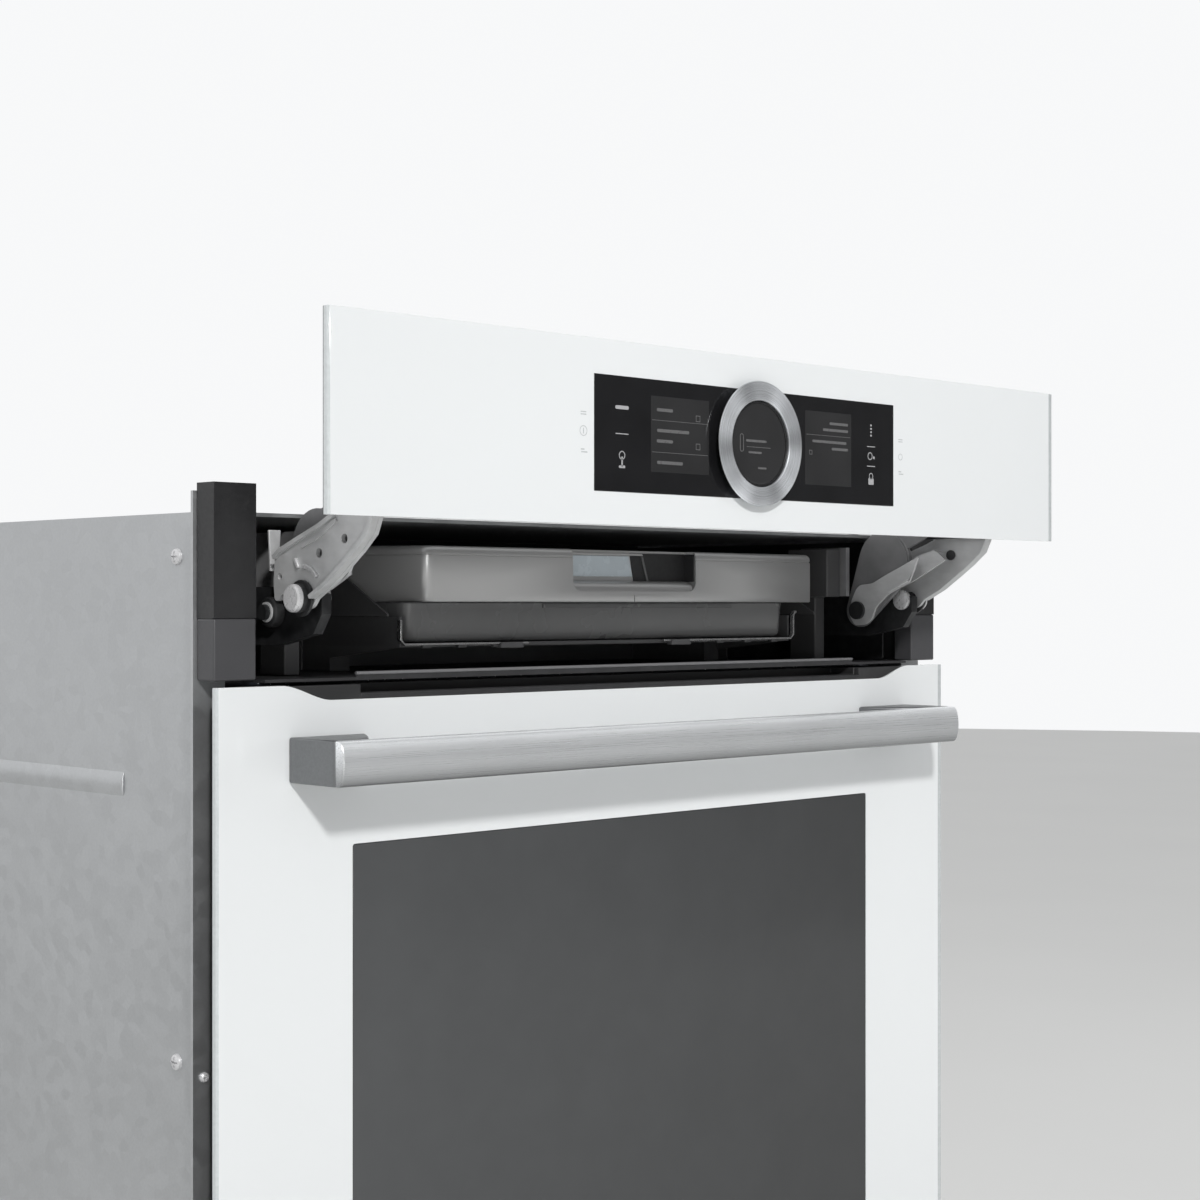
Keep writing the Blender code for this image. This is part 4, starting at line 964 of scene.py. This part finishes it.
def stacked(levels):
    """Closed solid through outlines of equal length at rising heights."""
    bm = bmesh.new()
    rings = [[bm.verts.new(to_world(u, v, height)) for u, v in outline] for outline, height in levels]
    for a, b in zip(rings, rings[1:]):
        for i in range(len(a)):
            j = (i + 1) % len(a)
            bm.faces.new((a[i], a[j], b[j], b[i]))
    bm.faces.new(rings[0][::-1])
    bm.faces.new(rings[-1])
    return new_object(bm)


def build_tank():
    low, high = room("tank_lid")
    body_low, body_high = room("tank_body")
    corner = 7.0
    bend = [(1 - math.sin(a), 1 - math.cos(a)) for a in (math.radians(70 - 7 * i) for i in range(11))]
    scoop = (-29.5, 76.5)
    base = low[2] - 42.3
    scoop_floor = base + 49.0
    back = low[1] + 10.0

    def outline(inset, height):
        near, far = low[1] + inset, high[1] - inset
        left, right = low[0] + inset, high[0] + 6.0 - inset
        points = [(left, far), (left, near + 40)]
        points += [(left + 17 + corner * u, near + corner * v) for u, v in bend]
        return (points + [(right - 2.0, near), (right, near + 2.0), (right, far)], height)

    edge = [(0.5, low[2]), (0.0, low[2] + 0.6), (0.0, high[2] - 5.4), (0.5, high[2] - 5.2),
            (0.5, high[2] - 4.7)]
    edge += [(0.1, high[2] - 4.4), (0.2, high[2] - 2.6), (0.8, high[2] - 1.2), (1.8, high[2] - 0.3),
             (3.0, high[2])]
    lid = stacked([outline(inset, height) for inset, height in edge])
    well = prism("Y", rounded(scoop, (scoop_floor, high[2] + 20), 6.0, (1, 0, 0, 1)), low[1] - 5, back)
    cut(lid, well)
    cut(lid, block((low[0] + 22, high[0] - 3), (low[1] + 17, high[1] - 3), (low[2] - 5, high[2] - 3)))
    seam_x = 22.0
    cut(lid, block((seam_x - 0.3, seam_x + 0.3), (low[1] - 5, low[1] + 0.7), (low[2] - 5, scoop_floor - 2.5)))
    piece("tank_lid_shell", edge_round(lid, 0.7, 3, 50), "tank_grey", "tank", ("tank_lid",),
          smooth=60)

    window = [(scoop[0] + 0.4, base + 57.6), (29.6, base + 57.8), (26.2, base + 70.2),
              (scoop[0] + 0.4, base + 70.2)]
    piece("tank_level_window", edge_round(prism("Y", window, back - 0.9, back + 0.2), 0.3), "tank_window",
          "tank")
    # painted shade: the dark plastic on the scoop's back wall right of the window, and on its right wall,
    # stands in for the shade inside the recess
    shade = [(31.0, base + 55.0), (scoop[1] - 0.3, base + 55.0), (scoop[1] - 0.3, high[2] - 1.4),
             (27.6, high[2] - 1.4)]
    piece("tank_scoop_back_shade", edge_round(prism("Y", shade, back - 0.6, back + 0.2), 0.2), "dark_plastic",
          "tank")
    post = [(41.6, base + 55.0), (43.2, base + 55.0), (38.2, base + 70.2), (36.6, base + 70.2)]
    piece("tank_scoop_post", edge_round(prism("Y", post, back - 1.5, back - 0.4), 0.3), "tank_smoke", "tank")
    bar = [(scoop[0] + 0.3, base + 70.6), (38.5, base + 70.6), (37.6, base + 71.9),
           (scoop[0] + 0.3, base + 71.9)]
    piece("tank_window_bar", edge_round(prism("Y", bar, back - 1.3, back - 0.2), 0.3), "tank_grey", "tank")
    roll = [(low[1] + 1.2, scoop_floor - 0.4), (low[1] + 1.2, scoop_floor + 1.2),
            (low[1] + 1.9, scoop_floor + 3.4)]
    roll += [(low[1] + 3.6, scoop_floor + 5.0), (low[1] + 6.4, scoop_floor + 5.9),
             (back + 0.1, scoop_floor + 6.2)]
    roll += [(back + 0.1, scoop_floor - 0.4)]
    piece("tank_scoop_roll", edge_round(prism("X", roll, scoop[0] + 1.6, scoop[1] - 1.6), 0.3, 2, 60),
          "tank_grey",
          "tank", smooth=50)
    wall = block((scoop[1] - 0.8, scoop[1] + 0.2), (low[1] + 1.2, back), (scoop_floor + 6, high[2] - 1.6))
    piece("tank_scoop_side_shade", edge_round(wall, 0.2), "dark_plastic", "tank")

    def body_outline(inset, height):
        u, v = (body_low[0] + inset, body_high[0] - inset), (body_low[1] + inset, body_high[1] - inset)
        return (rounded(u, v, 9 - inset / 2, (1, 0, 0, 1)), height)

    levels = [(5.0, body_low[2]), (2.6, body_low[2] + 0.8), (1.4, body_low[2] + 2.6), (0.4, body_high[2] - 4)]
    shell = stacked([body_outline(*level) for level in levels + [(0.0, body_high[2])]])
    cut(shell, prism("Z", rounded((body_low[0] + 6, body_high[0] - 6), (body_low[1] + 6, body_high[1] - 6), 6,
                                  (1, 0, 0, 1)), body_low[2] + 2, body_high[2] + 10))
    piece("tank_body_shell", edge_round(shell, 0.6, 3, 50), "tank_smoke", "tank",
          ("tank_body",),
          smooth=60)
    step = prism("Z", rounded((scoop[0] - 22, scoop[1] + 36), (body_low[1] - 1.2, body_low[1] + 4), 1.1,
                              (1, 0, 0, 1)),
                 body_high[2] - 3.0, body_high[2] - 0.6)
    piece("tank_body_step", edge_round(step, 0.4), "tank_smoke", "tank")

    build_cradle(base, body_low)


def build_cradle(base, body_low):
    low, high = room("tank_cradle")
    front = low[1]
    floor = body_low[2] - 0.4
    tray = block((low[0], high[0]), (front, high[1]), (floor - 2.2, floor))
    for side_x, way in ((low[0], 1), (high[0], -1)):
        wall = [(front, floor - 2.2), (high[1], low[2]), (high[1], high[2]), (front, high[2])]
        fuse(tray, prism("X", wall, *sorted((side_x, side_x + way * 1.6))))
        fuse(tray, block(sorted((side_x, side_x + way * 14)), (front + 62, high[1]), (low[2], floor - 1)))
    fuse(tray, block((low[0], high[0]), (high[1] - 1.8, high[1]), (low[2], high[2])))
    piece("tank_cradle_tray", edge_round(tray, 0.4), "cradle_plastic", "chassis",
          ("tank_cradle",))
    wing = [(front + 2.4, base + 34.4), (front + 2.4, base + 35.6), (73.7, base + 58.3), (150, base + 62)]
    wing += [(160, base + 62), (160, base + 34.4)]
    for x, label in ((low[0] - 5.4, "left"), (200.0, "right")):
        plate = prism("X", softened(wing, 1.2), x - 1.4, x)
        foot = block(sorted((x - 1.4, x + (7 if label == "left" else -12))), (96, 158),
                     (base + 33.0, base + 35.0))
        fuse(plate, foot)
        leg = block((x - 1.4, x), (110, 158), (low[2], base + 36))
        piece(f"cradle_wing_{label}", edge_round(fuse(plate, leg), 0.4), "cradle_plastic", "chassis")

    thick = 1.3
    for name, corner, way, reach in (("left", low[0] - 0.6, 1, 94), ("right", high[0] + 0.6, -1, 122)):
        path = [(corner, base + 32.5), (corner, floor + 2), (corner + way * 2, floor),
                (corner + way * reach, floor)]
        if way < 0:
            path = [(corner + 3.4, base + 37), (corner + 1.6, base + 36.4), (corner, base + 34)] + path[1:]
        outline = strip(path, thick) if way < 0 else strip(path[::-1], thick)
        bracket = prism("Y", outline, front - 3.2, front - 0.3)
        piece(f"cradle_bracket_{name}", edge_round(bracket, 0.25, 2), "strip_steel", "chassis")
        clip_x = corner + way * (reach - 14)
        clip = [(clip_x - 9, floor - 3.4), (clip_x + 9, floor - 3.4), (clip_x + 8, floor),
                (clip_x - 8, floor)]
        piece(f"cradle_clip_{name}", edge_round(prism("Y", softened(clip, 1), front - 4.4, front - 0.3), 0.5),
              "clip_grey", "chassis")
        for i in range(3):
            x = corner + way * (18 + 26 * i)
            tab = block((x - 3, x + 3), (front - 2.6, front - 0.3), (floor - 2.8, floor - 0.6))
            piece(f"cradle_tab_{name}_{i}", edge_round(tab, 0.3), "cradle_plastic", "chassis")


# ---------------------------------------------------------------- compartment


def build_compartment():
    low, high = room("compartment_deck")
    deck_top = low[2] + 1.5
    for side, label in SIDES:
        fill_low, fill_high = room(f"side_filler_{label}")
        split = fill_low[2] + 31.0
        across = span(side, 269.6, 295.0)
        lower = block(across, (fill_low[1], fill_high[1]), (fill_low[2], split - 0.1))
        upper = block(across, (fill_low[1], fill_high[1]), (split + 0.1, fill_high[2] + 3.4))
        backing = block(span(side, 270.0, 294.8), (fill_low[1] + 1.5, fill_high[1] - 0.2),
                        (split - 3, split + 3))
        fuse(upper, backing)
        # painted shade: the upper block takes a darker copy of the plastic than the lower one, standing in
        # for the change of light at the seam between them
        piece(f"filler_lower_{label}", edge_round(lower, 1.0), "filler_light", "chassis",
              (f"side_filler_{label}",))
        piece(f"filler_upper_{label}", edge_round(upper, 1.0), "filler_dark", "chassis")
        # dark lining of the side, its return and the plate beside the arm, as painted shade: dark sheets that
        # stand in for the shade inside the niche
        lining = block(span(side, 275.6, 277.4), (23, 330), (deck_top + 0.4, deck_top + 81))
        piece(f"side_shade_lining_{label}", edge_round(lining, 0.3), "dark_plastic", "chassis")
        plate = prism(
            "X", softened([(24, deck_top + 0.5), (120, deck_top + 0.5), (120, deck_top + 34),
                           (60, deck_top + 44),
                           (24, deck_top + 40)], 3), *span(side, 262, 263.5)
        )
        piece(f"side_shade_plate_{label}", edge_round(plate, 0.4), "blackened_steel", "chassis")
        gearbox = block(span(side, 212, 226), (32, 66), (deck_top + 43, deck_top + 75))
        leg = block(span(side, 214, 224), (44, 66), (deck_top + 0.4, deck_top + 44))
        piece(f"gearbox_{label}", edge_round(fuse(gearbox, leg), 0.8), "cradle_plastic", "chassis")
        upright = block(span(side, 226.2, 227.4), (27, 66), (deck_top + 43.5, deck_top + 76))
        flange = block(span(side, 226.2, 229.6), (27, 28.2), (deck_top + 43.5, deck_top + 76))
        piece(f"gearbox_plate_{label}", edge_round(fuse(upright, flange), 0.3), "link_steel", "chassis")
    screen = block((-260, 260), (255, 257), (deck_top + 52, deck_top + 82))
    piece("rear_screen", edge_round(screen, 0.4), "dark_plastic", "chassis")
    # folded front edge of the floor, in paler plastic than the black floor as a painted highlight along the
    # edge
    bead = [(5.5, high[2] - 1.7), (5.1, high[2] - 0.9), (5.5, high[2] - 0.1), (7.4, high[2] + 0.1),
            (7.4, high[2] - 1.7)]
    fold = prism("X", bead, -206, 206)
    piece("deck_front_bead", edge_round(fold, 0.25, 2), "lip_plastic", "chassis")


# ---------------------------------------------------------------- inside the cavity


def wire_frame(name, tubes, body, replaces, finish="chrome_wire"):
    piece(name, joined(*tubes), finish, body, replaces, smooth=60)


def path_corners(points, reach, steps=5):
    """Wire path whose bends are rounded off by a given reach."""
    spots = [Vector(point) for point in points]
    path = [spots[0]]
    for corners in zip(spots, spots[1:], spots[2:]):
        path += corner_curve(*corners, reach, steps)
    path.append(spots[-1])
    return [tuple(spot) for spot in path]


def build_cavity():
    for side, label in SIDES:
        low, high = room(f"side_rack_{label}")
        x = side * 233.5
        corners = [(x, low[1] + 3, low[2] + 3), (x, high[1] - 3, low[2] + 3), (x, high[1] - 3, high[2] - 3),
                   (x, low[1] + 3, high[2] - 3)]
        loop = path_corners([corners[0], corners[1], corners[2], corners[3], corners[0]], 12)
        tubes = [tube(loop, 2.6)]
        for height in (158, 216, 274, 332):
            inner = side * 225.0
            rail = [(x, low[1] + 3, height + 12), (inner, low[1] + 6, height + 8),
                    (inner, low[1] + 14, height + 1.5),
                    (inner, high[1] - 10, height + 1.5), (inner, high[1] - 5, height + 8),
                    (x, high[1] - 3, height + 12)]
            tubes.append(tube(path_corners(rail, 5), 1.5))
            upper = [(x, low[1] + 3, height + 24), (side * 226.5, low[1] + 14, height + 20),
                     (side * 226.5, high[1] - 10, height + 20), (x, high[1] - 3, height + 24)]
            tubes.append(tube(path_corners(upper, 5), 1.5))
        wire_frame(f"side_rack_{label}_wires", tubes, "chassis", (f"side_rack_{label}",))

    low, high = room("wire_shelf")
    middle = (low[2] + high[2]) / 2
    ring = path_corners([(0, low[1] + 2.5, middle), (high[0] - 2.5, low[1] + 2.5, middle),
                         (high[0] - 2.5, high[1] - 2.5, middle), (low[0] + 2.5, high[1] - 2.5, middle),
                         (low[0] + 2.5, low[1] + 2.5, middle), (0, low[1] + 2.5, middle)], 16)
    tubes = [tube(ring, 2.5)]
    for i in range(21):
        x = low[0] + 18 + i * (high[0] - low[0] - 36) / 20
        tubes.append(tube([(x, low[1] + 2, middle + 0.9), (x, high[1] - 2, middle + 0.9)], 1.4))
    for depth in (low[1] + 100, high[1] - 100):
        tubes.append(tube([(low[0] + 2, depth, middle - 0.8), (high[0] - 2, depth, middle - 0.8)], 1.7))
    wire_frame("wire_shelf_rods", tubes, "chassis", ("wire_shelf",))

    low, high = room("baking_tray")
    bm = bmesh.new()

    def loop(inset, height, radius):
        outline = rounded((low[0] + inset, high[0] - inset), (low[1] + inset, high[1] - inset), radius,
                          steps=8)
        return [bm.verts.new(to_world(u, v, height)) for u, v in outline]

    top = high[2]
    rings = [loop(0.3, top - 1.6, 14), loop(0.3, top - 0.2, 14), loop(1.6, top, 13), loop(6.4, top - 0.4, 10),
             loop(8.2, top - 1.8, 9), loop(11, low[2] + 4, 8), loop(14.5, low[2] + 1.4, 7),
             loop(22, low[2] + 1.1, 5)]
    under = [loop(22, low[2] + 0.1, 5), loop(13.5, low[2] + 0.4, 7), loop(9.4, low[2] + 3.6, 9),
             loop(7.2, top - 2.6, 10), loop(5.8, top - 1.4, 10), loop(1.6, top - 1.0, 13),
             loop(0.9, top - 1.6, 14)]
    for a, b in zip(rings + under, (rings + under)[1:]):
        if a is rings[-1]:
            continue
        for i in range(len(a)):
            j = (i + 1) % len(a)
            bm.faces.new((a[i], a[j], b[j], b[i]))
    first, last = rings[0], under[-1]
    for i in range(len(first)):
        j = (i + 1) % len(first)
        bm.faces.new((last[i], last[j], first[j], first[i]))
    bm.faces.new(rings[-1])
    bm.faces.new(under[0][::-1])
    piece("baking_tray_pressed", new_object(bm), "enamel", "chassis", ("baking_tray",), smooth=50)

    low, high = room("door_gasket")
    cord = rounded((low[0] + 4.2, high[0] - 4.2), (low[2] + 4.2, high[2] - 4.2), 15, steps=8)
    seal = tube([(u, (low[1] + high[1]) / 2, v) for u, v in cord], 3.0, closed=True, sides=4)
    foot = cut(
        prism("Y", rounded((low[0] + 1.5, high[0] - 1.5), (low[2] + 1.5, high[2] - 1.5), 17), high[1] - 1.2,
              high[1]),
        prism("Y", rounded((low[0] + 7, high[0] - 7), (low[2] + 7, high[2] - 7), 12), high[1] - 5,
              high[1] + 5),
    )
    piece("door_gasket_cord", joined(seal, foot), "silicone_braid", "chassis", ("door_gasket",))

    low, high = room("oven_lamp")
    axis = ((low[0] + high[0]) / 2, (low[1] + high[1]) / 2)
    rim = turned("Z", axis, [(29.9, high[2]), (29.9, high[2] - 4), (28, high[2] - 6.5), (24.5, high[2] - 6.5),
                             (24.5, high[2])])
    piece("lamp_rim", rim, "chrome_wire", "chassis")
    dome = [(24.3, high[2]), (24.3, high[2] - 5)]
    dome += bulge(24.3, high[2] - 5, 7.5, 10)
    dome += [(0, low[2]), (0, high[2])]
    piece("lamp_lens", turned("Z", axis, dome), "clear_glass", "chassis", ("oven_lamp",))

    build_baffle_detail()
    build_fan()


def build_baffle_detail():
    low, high = room("fan_baffle")
    centre = (0, (low[2] + high[2]) / 2)
    dish = turned("Y", centre, [(86, low[1] - 0.2), (90, low[1] - 2.4), (96, low[1] - 2.4),
                                (100, low[1] - 0.2)], 72)
    piece("baffle_ridge", dish, "enamel", "chassis")
    for i, (x, height) in enumerate([(-212, 104), (212, 104), (-212, 396), (212, 396)]):
        head = [(0, low[1] - 2.4), (2.2, low[1] - 2.3), (4.6, low[1] - 1.0), (4.8, low[1] - 0.1),
                (0, low[1] - 0.1)]
        piece(f"baffle_screw_{i}", turned("Y", (x, height), head, 24), "bright_pin", "chassis")


def build_fan():
    low, high = room("fan_impeller")
    centre = ((low[0] + high[0]) / 2, (low[2] + high[2]) / 2)
    back = low[1] + 20
    wheel = turned("Y", centre, [(0, low[1]), (10, low[1]), (12, low[1] + 2), (12, back - 2),
                                 (69.5, back - 2),
                                 (69.5, back - 1), (12, back - 1), (4, back + 2), (4, high[1]),
                                 (0, high[1])], 64)
    blades = []
    for i in range(12):
        path = [(14 + 54 * t, 9 * math.sin(1.6 * t)) for t in [k / 8 for k in range(9)]]
        blade = prism("Y", [(centre[0] + u, centre[1] + v) for u, v in strip(path, 0.9)], low[1] + 2,
                      back - 1.8)
        spot = to_world(centre[0], back, centre[1])
        turn = Matrix.Rotation(2 * math.pi * i / 12, 4, "Y")
        blade.data.transform(Matrix.Translation(spot) @ turn @ Matrix.Translation(-spot))
        blades.append(blade)
    piece("fan_wheel", joined(wheel, *blades), "zinc_sheet", "fan", ("fan_impeller",))


# ---------------------------------------------------------------- outside of the body


def screw(name, axis, spot, way, radius=4.4, finish="bright_pin"):
    """Pan-head screw with a cross recess; way is the outward direction along its axis."""
    u, v, w = spot
    head = [(0, w + way * 2.2), (radius * 0.5, w + way * 2.1), (radius * 0.9, w + way * 1.3),
            (radius, w + way * 0.3),
            (radius, w), (0, w)]
    item = turned(axis, (u, v), head, 24)
    arm = radius * 0.62
    bars = [
        prism(axis, [(u - a, v - b), (u + a, v - b), (u + a, v + b), (u - a, v + b)],
              *sorted((w + way * 0.9, w + way * 4)))
        for a, b in ((arm, 0.5), (0.5, arm))
    ]
    for bar in bars:
        cut(item, bar)
    piece(name, item, finish, "chassis")


def build_outside():
    for side, label in SIDES:
        flange_front = room(f"side_panel_{label}")[0][1]
        wall = side * SHELL_HALF
        for i, depth in enumerate((60, 300, 520)):
            for j, height in enumerate((24, 300, 560)):
                screw(f"side_screw_{label}_{i}{j}", "X", (depth, height, wall), side)
        for i, height in enumerate((120, 440)):
            bead = [(height - 7, wall - side * 0.2), (height - 3, wall + side * 1.4),
                    (height + 3, wall + side * 1.4),
                    (height + 7, wall - side * 0.2)]
            rib = prism("Y", [(x, z) for z, x in bead], 110, 480)
            piece(f"side_bead_{label}_{i}", edge_round(rib, 1.0), "zinc_sheet", "chassis")
        for i, height in enumerate((60, 300, 560)):
            screw(f"flange_screw_{label}_{i}", "Y", (side * 290.5, height, flange_front), -1, 2.6)
    high = room("back_panel")[1]
    for i, x in enumerate((-265, 0, 265)):
        for j, height in enumerate((16, 300, 566)):
            screw(f"back_screw_{i}{j}", "Y", (x, height, high[1]), 1)
    frame_ridge = cut(
        prism("Y", rounded((-200, 200), (110, 430), 26), high[1] - 0.3, high[1] + 1.6),
        prism("Y", rounded((-190, 190), (120, 420), 20), high[1] - 5, high[1] + 5),
    )
    piece("back_ridge", edge_round(frame_ridge, 1.0), "zinc_sheet", "chassis")
    plate = prism("Y", rounded((-60, 60), (470, 500), 3), high[1], high[1] + 0.5)
    piece("back_blank_plate", edge_round(plate, 0.2), "label_grey", "chassis")
    high = room("top_cover")[1]
    for i, (x, depth) in enumerate([(-262, 50), (262, 50), (-262, 520), (262, 520), (0, 520)]):
        screw(f"top_screw_{i}", "Z", (x, depth, high[2]), 1)
    for i, x in enumerate((-60, 60, 180)):
        outline = [(x - 8, high[2] - 0.2), (x - 4, high[2] + 1.5), (x + 4, high[2] + 1.5),
                   (x + 8, high[2] - 0.2)]
        rib = prism("Y", outline, 80, 500)
        piece(f"top_bead_{i}", edge_round(rib, 1.0), "zinc_sheet", "chassis")
    high = room("terminal_block")[1]
    for i, x in enumerate((156, 170, 184, 198)):
        screw(f"terminal_screw_{i}", "Y", (x + 4.5, 527.5, high[1] - 9), 1, 3.6, "brass_screw")


CARRIED = {
    "zinc_sheet": ("chassis_base", "side_panel_left", "side_panel_right", "back_panel", "top_cover"),
    "motor_steel": ("fan_motor", "lift_motor", "steam_generator"),
    "strip_steel": ("lift_spindle", "door_hinge_left", "door_hinge_right"),
    "enamel": ("front_frame", "cavity_liner", "fan_baffle"),
    "black_paint": (
        "compartment_deck", "door_side_rail_left", "door_side_rail_right", "door_bottom_rail",
    ),
    "blackened_steel": (
        "carriage_frame", "panel_bracket_left", "panel_bracket_right", "guide_rail_left", "guide_rail_right",
    ),
    "mineral_wool": ("insulation_wrap",),
    "heater_tube": ("ring_heater", "grill_heater"),
    "clear_glass": ("door_middle_glass", "door_inner_glass"),
    "dark_plastic": ("blower_housing", "blower_rotor", "power_module", "panel_housing"),
    "nylon": ("terminal_block",),
}


def finish_carried():
    for label, nodes in CARRIED.items():
        for name in nodes:
            data = frame["nodes"][name].data
            data.materials.clear()
            data.materials.append(FINISH[label])


# ---------------------------------------------------------------- camera, light and floor


def build_camera():
    """Level camera, 63.9 mm on a 36 mm sensor, that looks in from the front left."""
    data = bpy.data.cameras.new("camera")
    data.sensor_width = 36.0
    data.lens = 63.91
    data.shift_y = 0.0039
    data.clip_start = 0.02
    camera = bpy.data.objects.new("camera", data)
    camera.location = to_world(-897.3, -871.4, 535.3)
    camera.rotation_euler = (math.radians(90), 0, math.radians(-44.76))
    bpy.context.scene.collection.objects.link(camera)
    bpy.context.scene.camera = camera


def area_light(name, spot, aim, size, power, colour, stretch, spread):
    data = bpy.data.lights.new(name, "AREA")
    data.shape = "RECTANGLE"
    data.size = size
    data.size_y = size * stretch
    data.energy = power
    data.color = colour
    data.spread = math.radians(spread)
    light = bpy.data.objects.new(name, data)
    light.location = Vector(spot)
    light.rotation_euler = (Vector(aim) - Vector(spot)).to_track_quat("-Z", "Y").to_euler()
    bpy.context.scene.collection.objects.link(light)
    return light


def build_light():
    aim = Vector((0.0, -0.28, 0.47))
    to_key = Vector((-30, -45, 30)).normalized()
    area_light("key", aim + to_key * 4.2, aim, 0.32, 70, (1.0, 0.995, 0.985), 1.0, 150)
    fill = area_light("right_fill", (2.6, -1.7, 0.9), (0.2, -0.2, 0.45), 1.2, 6, (0.97, 0.985, 1.0), 1.0, 120)
    fill.visible_glossy = False
    area_light("low_fill", (-1.5, -2.6, 0.42), (0.0, -0.2, 0.53), 0.5, 0.2, (1.0, 1.0, 1.0), 1.0, 28)
    world = bpy.data.worlds.new("studio")
    world.use_nodes = True
    tree = world.node_tree
    sky = tree.nodes["Background"]
    where = tree.nodes.new("ShaderNodeTexCoord")
    parts = tree.nodes.new("ShaderNodeSeparateXYZ")
    tree.links.new(where.outputs["Generated"], parts.inputs[0])

    def ramp(socket, low, high, start, end):
        made = tree.nodes.new("ShaderNodeMapRange")
        made.interpolation_type = "SMOOTHSTEP"
        tree.links.new(socket, made.inputs["Value"])
        for label, number in zip(("From Min", "From Max", "To Min", "To Max"), (start, end, low, high)):
            made.inputs[label].default_value = number
        return made.outputs["Result"]

    # bright wall behind the object and bright ceiling, darker room in front of it
    wall = ramp(parts.outputs["Y"], 0.16, 0.95, -0.3, 0.35)
    ceiling = ramp(parts.outputs["Z"], 0.0, 0.5, 0.1, 0.66)
    total = tree.nodes.new("ShaderNodeMath")
    total.operation = "MAXIMUM"
    tree.links.new(wall, total.inputs[0])
    tree.links.new(ceiling, total.inputs[1])
    tree.links.new(total.outputs[0], sky.inputs["Strength"])
    sky.inputs["Color"].default_value = (0.985, 0.992, 1.0, 1)
    bpy.context.scene.world = world
    bpy.context.scene.view_settings.view_transform = "Standard"


def build_floor():
    """Round floor, with a plain stand that keeps the open door's handle clear of it."""
    plain = Finish("floor_plain", (0.72, 0.72, 0.71), 0.7)
    plain.tint(plain.noise(2), 0.99, 1.01).bump(plain.noise(40), 0.02, 1.0)
    bm = bmesh.new()
    radius = 9.0
    drop = -PLINTH * MM
    turns = [math.pi * i / 32 for i in range(64)]
    ring = [bm.verts.new((radius * math.cos(a), radius * math.sin(a), drop)) for a in turns]
    bm.faces.new(ring)
    floor = new_object(bm, "floor")
    floor.data.materials.append(plain.material)
    base_low, base_high = room("chassis_base")
    plinth = block((base_low[0] - 2, base_high[0] + 2), (base_low[1] + 6, base_high[1]),
                   (-PLINTH, base_low[2] - 0.3))
    plinth.name = "plinth"
    edge_round(plinth, 2)
    plinth.data.materials.append(plain.material)


make_finishes()
build_camera()
build_light()
build_floor()
build_door()
build_panel()
build_arms()
build_tank()
build_compartment()
build_cavity()
build_outside()
finish_carried()
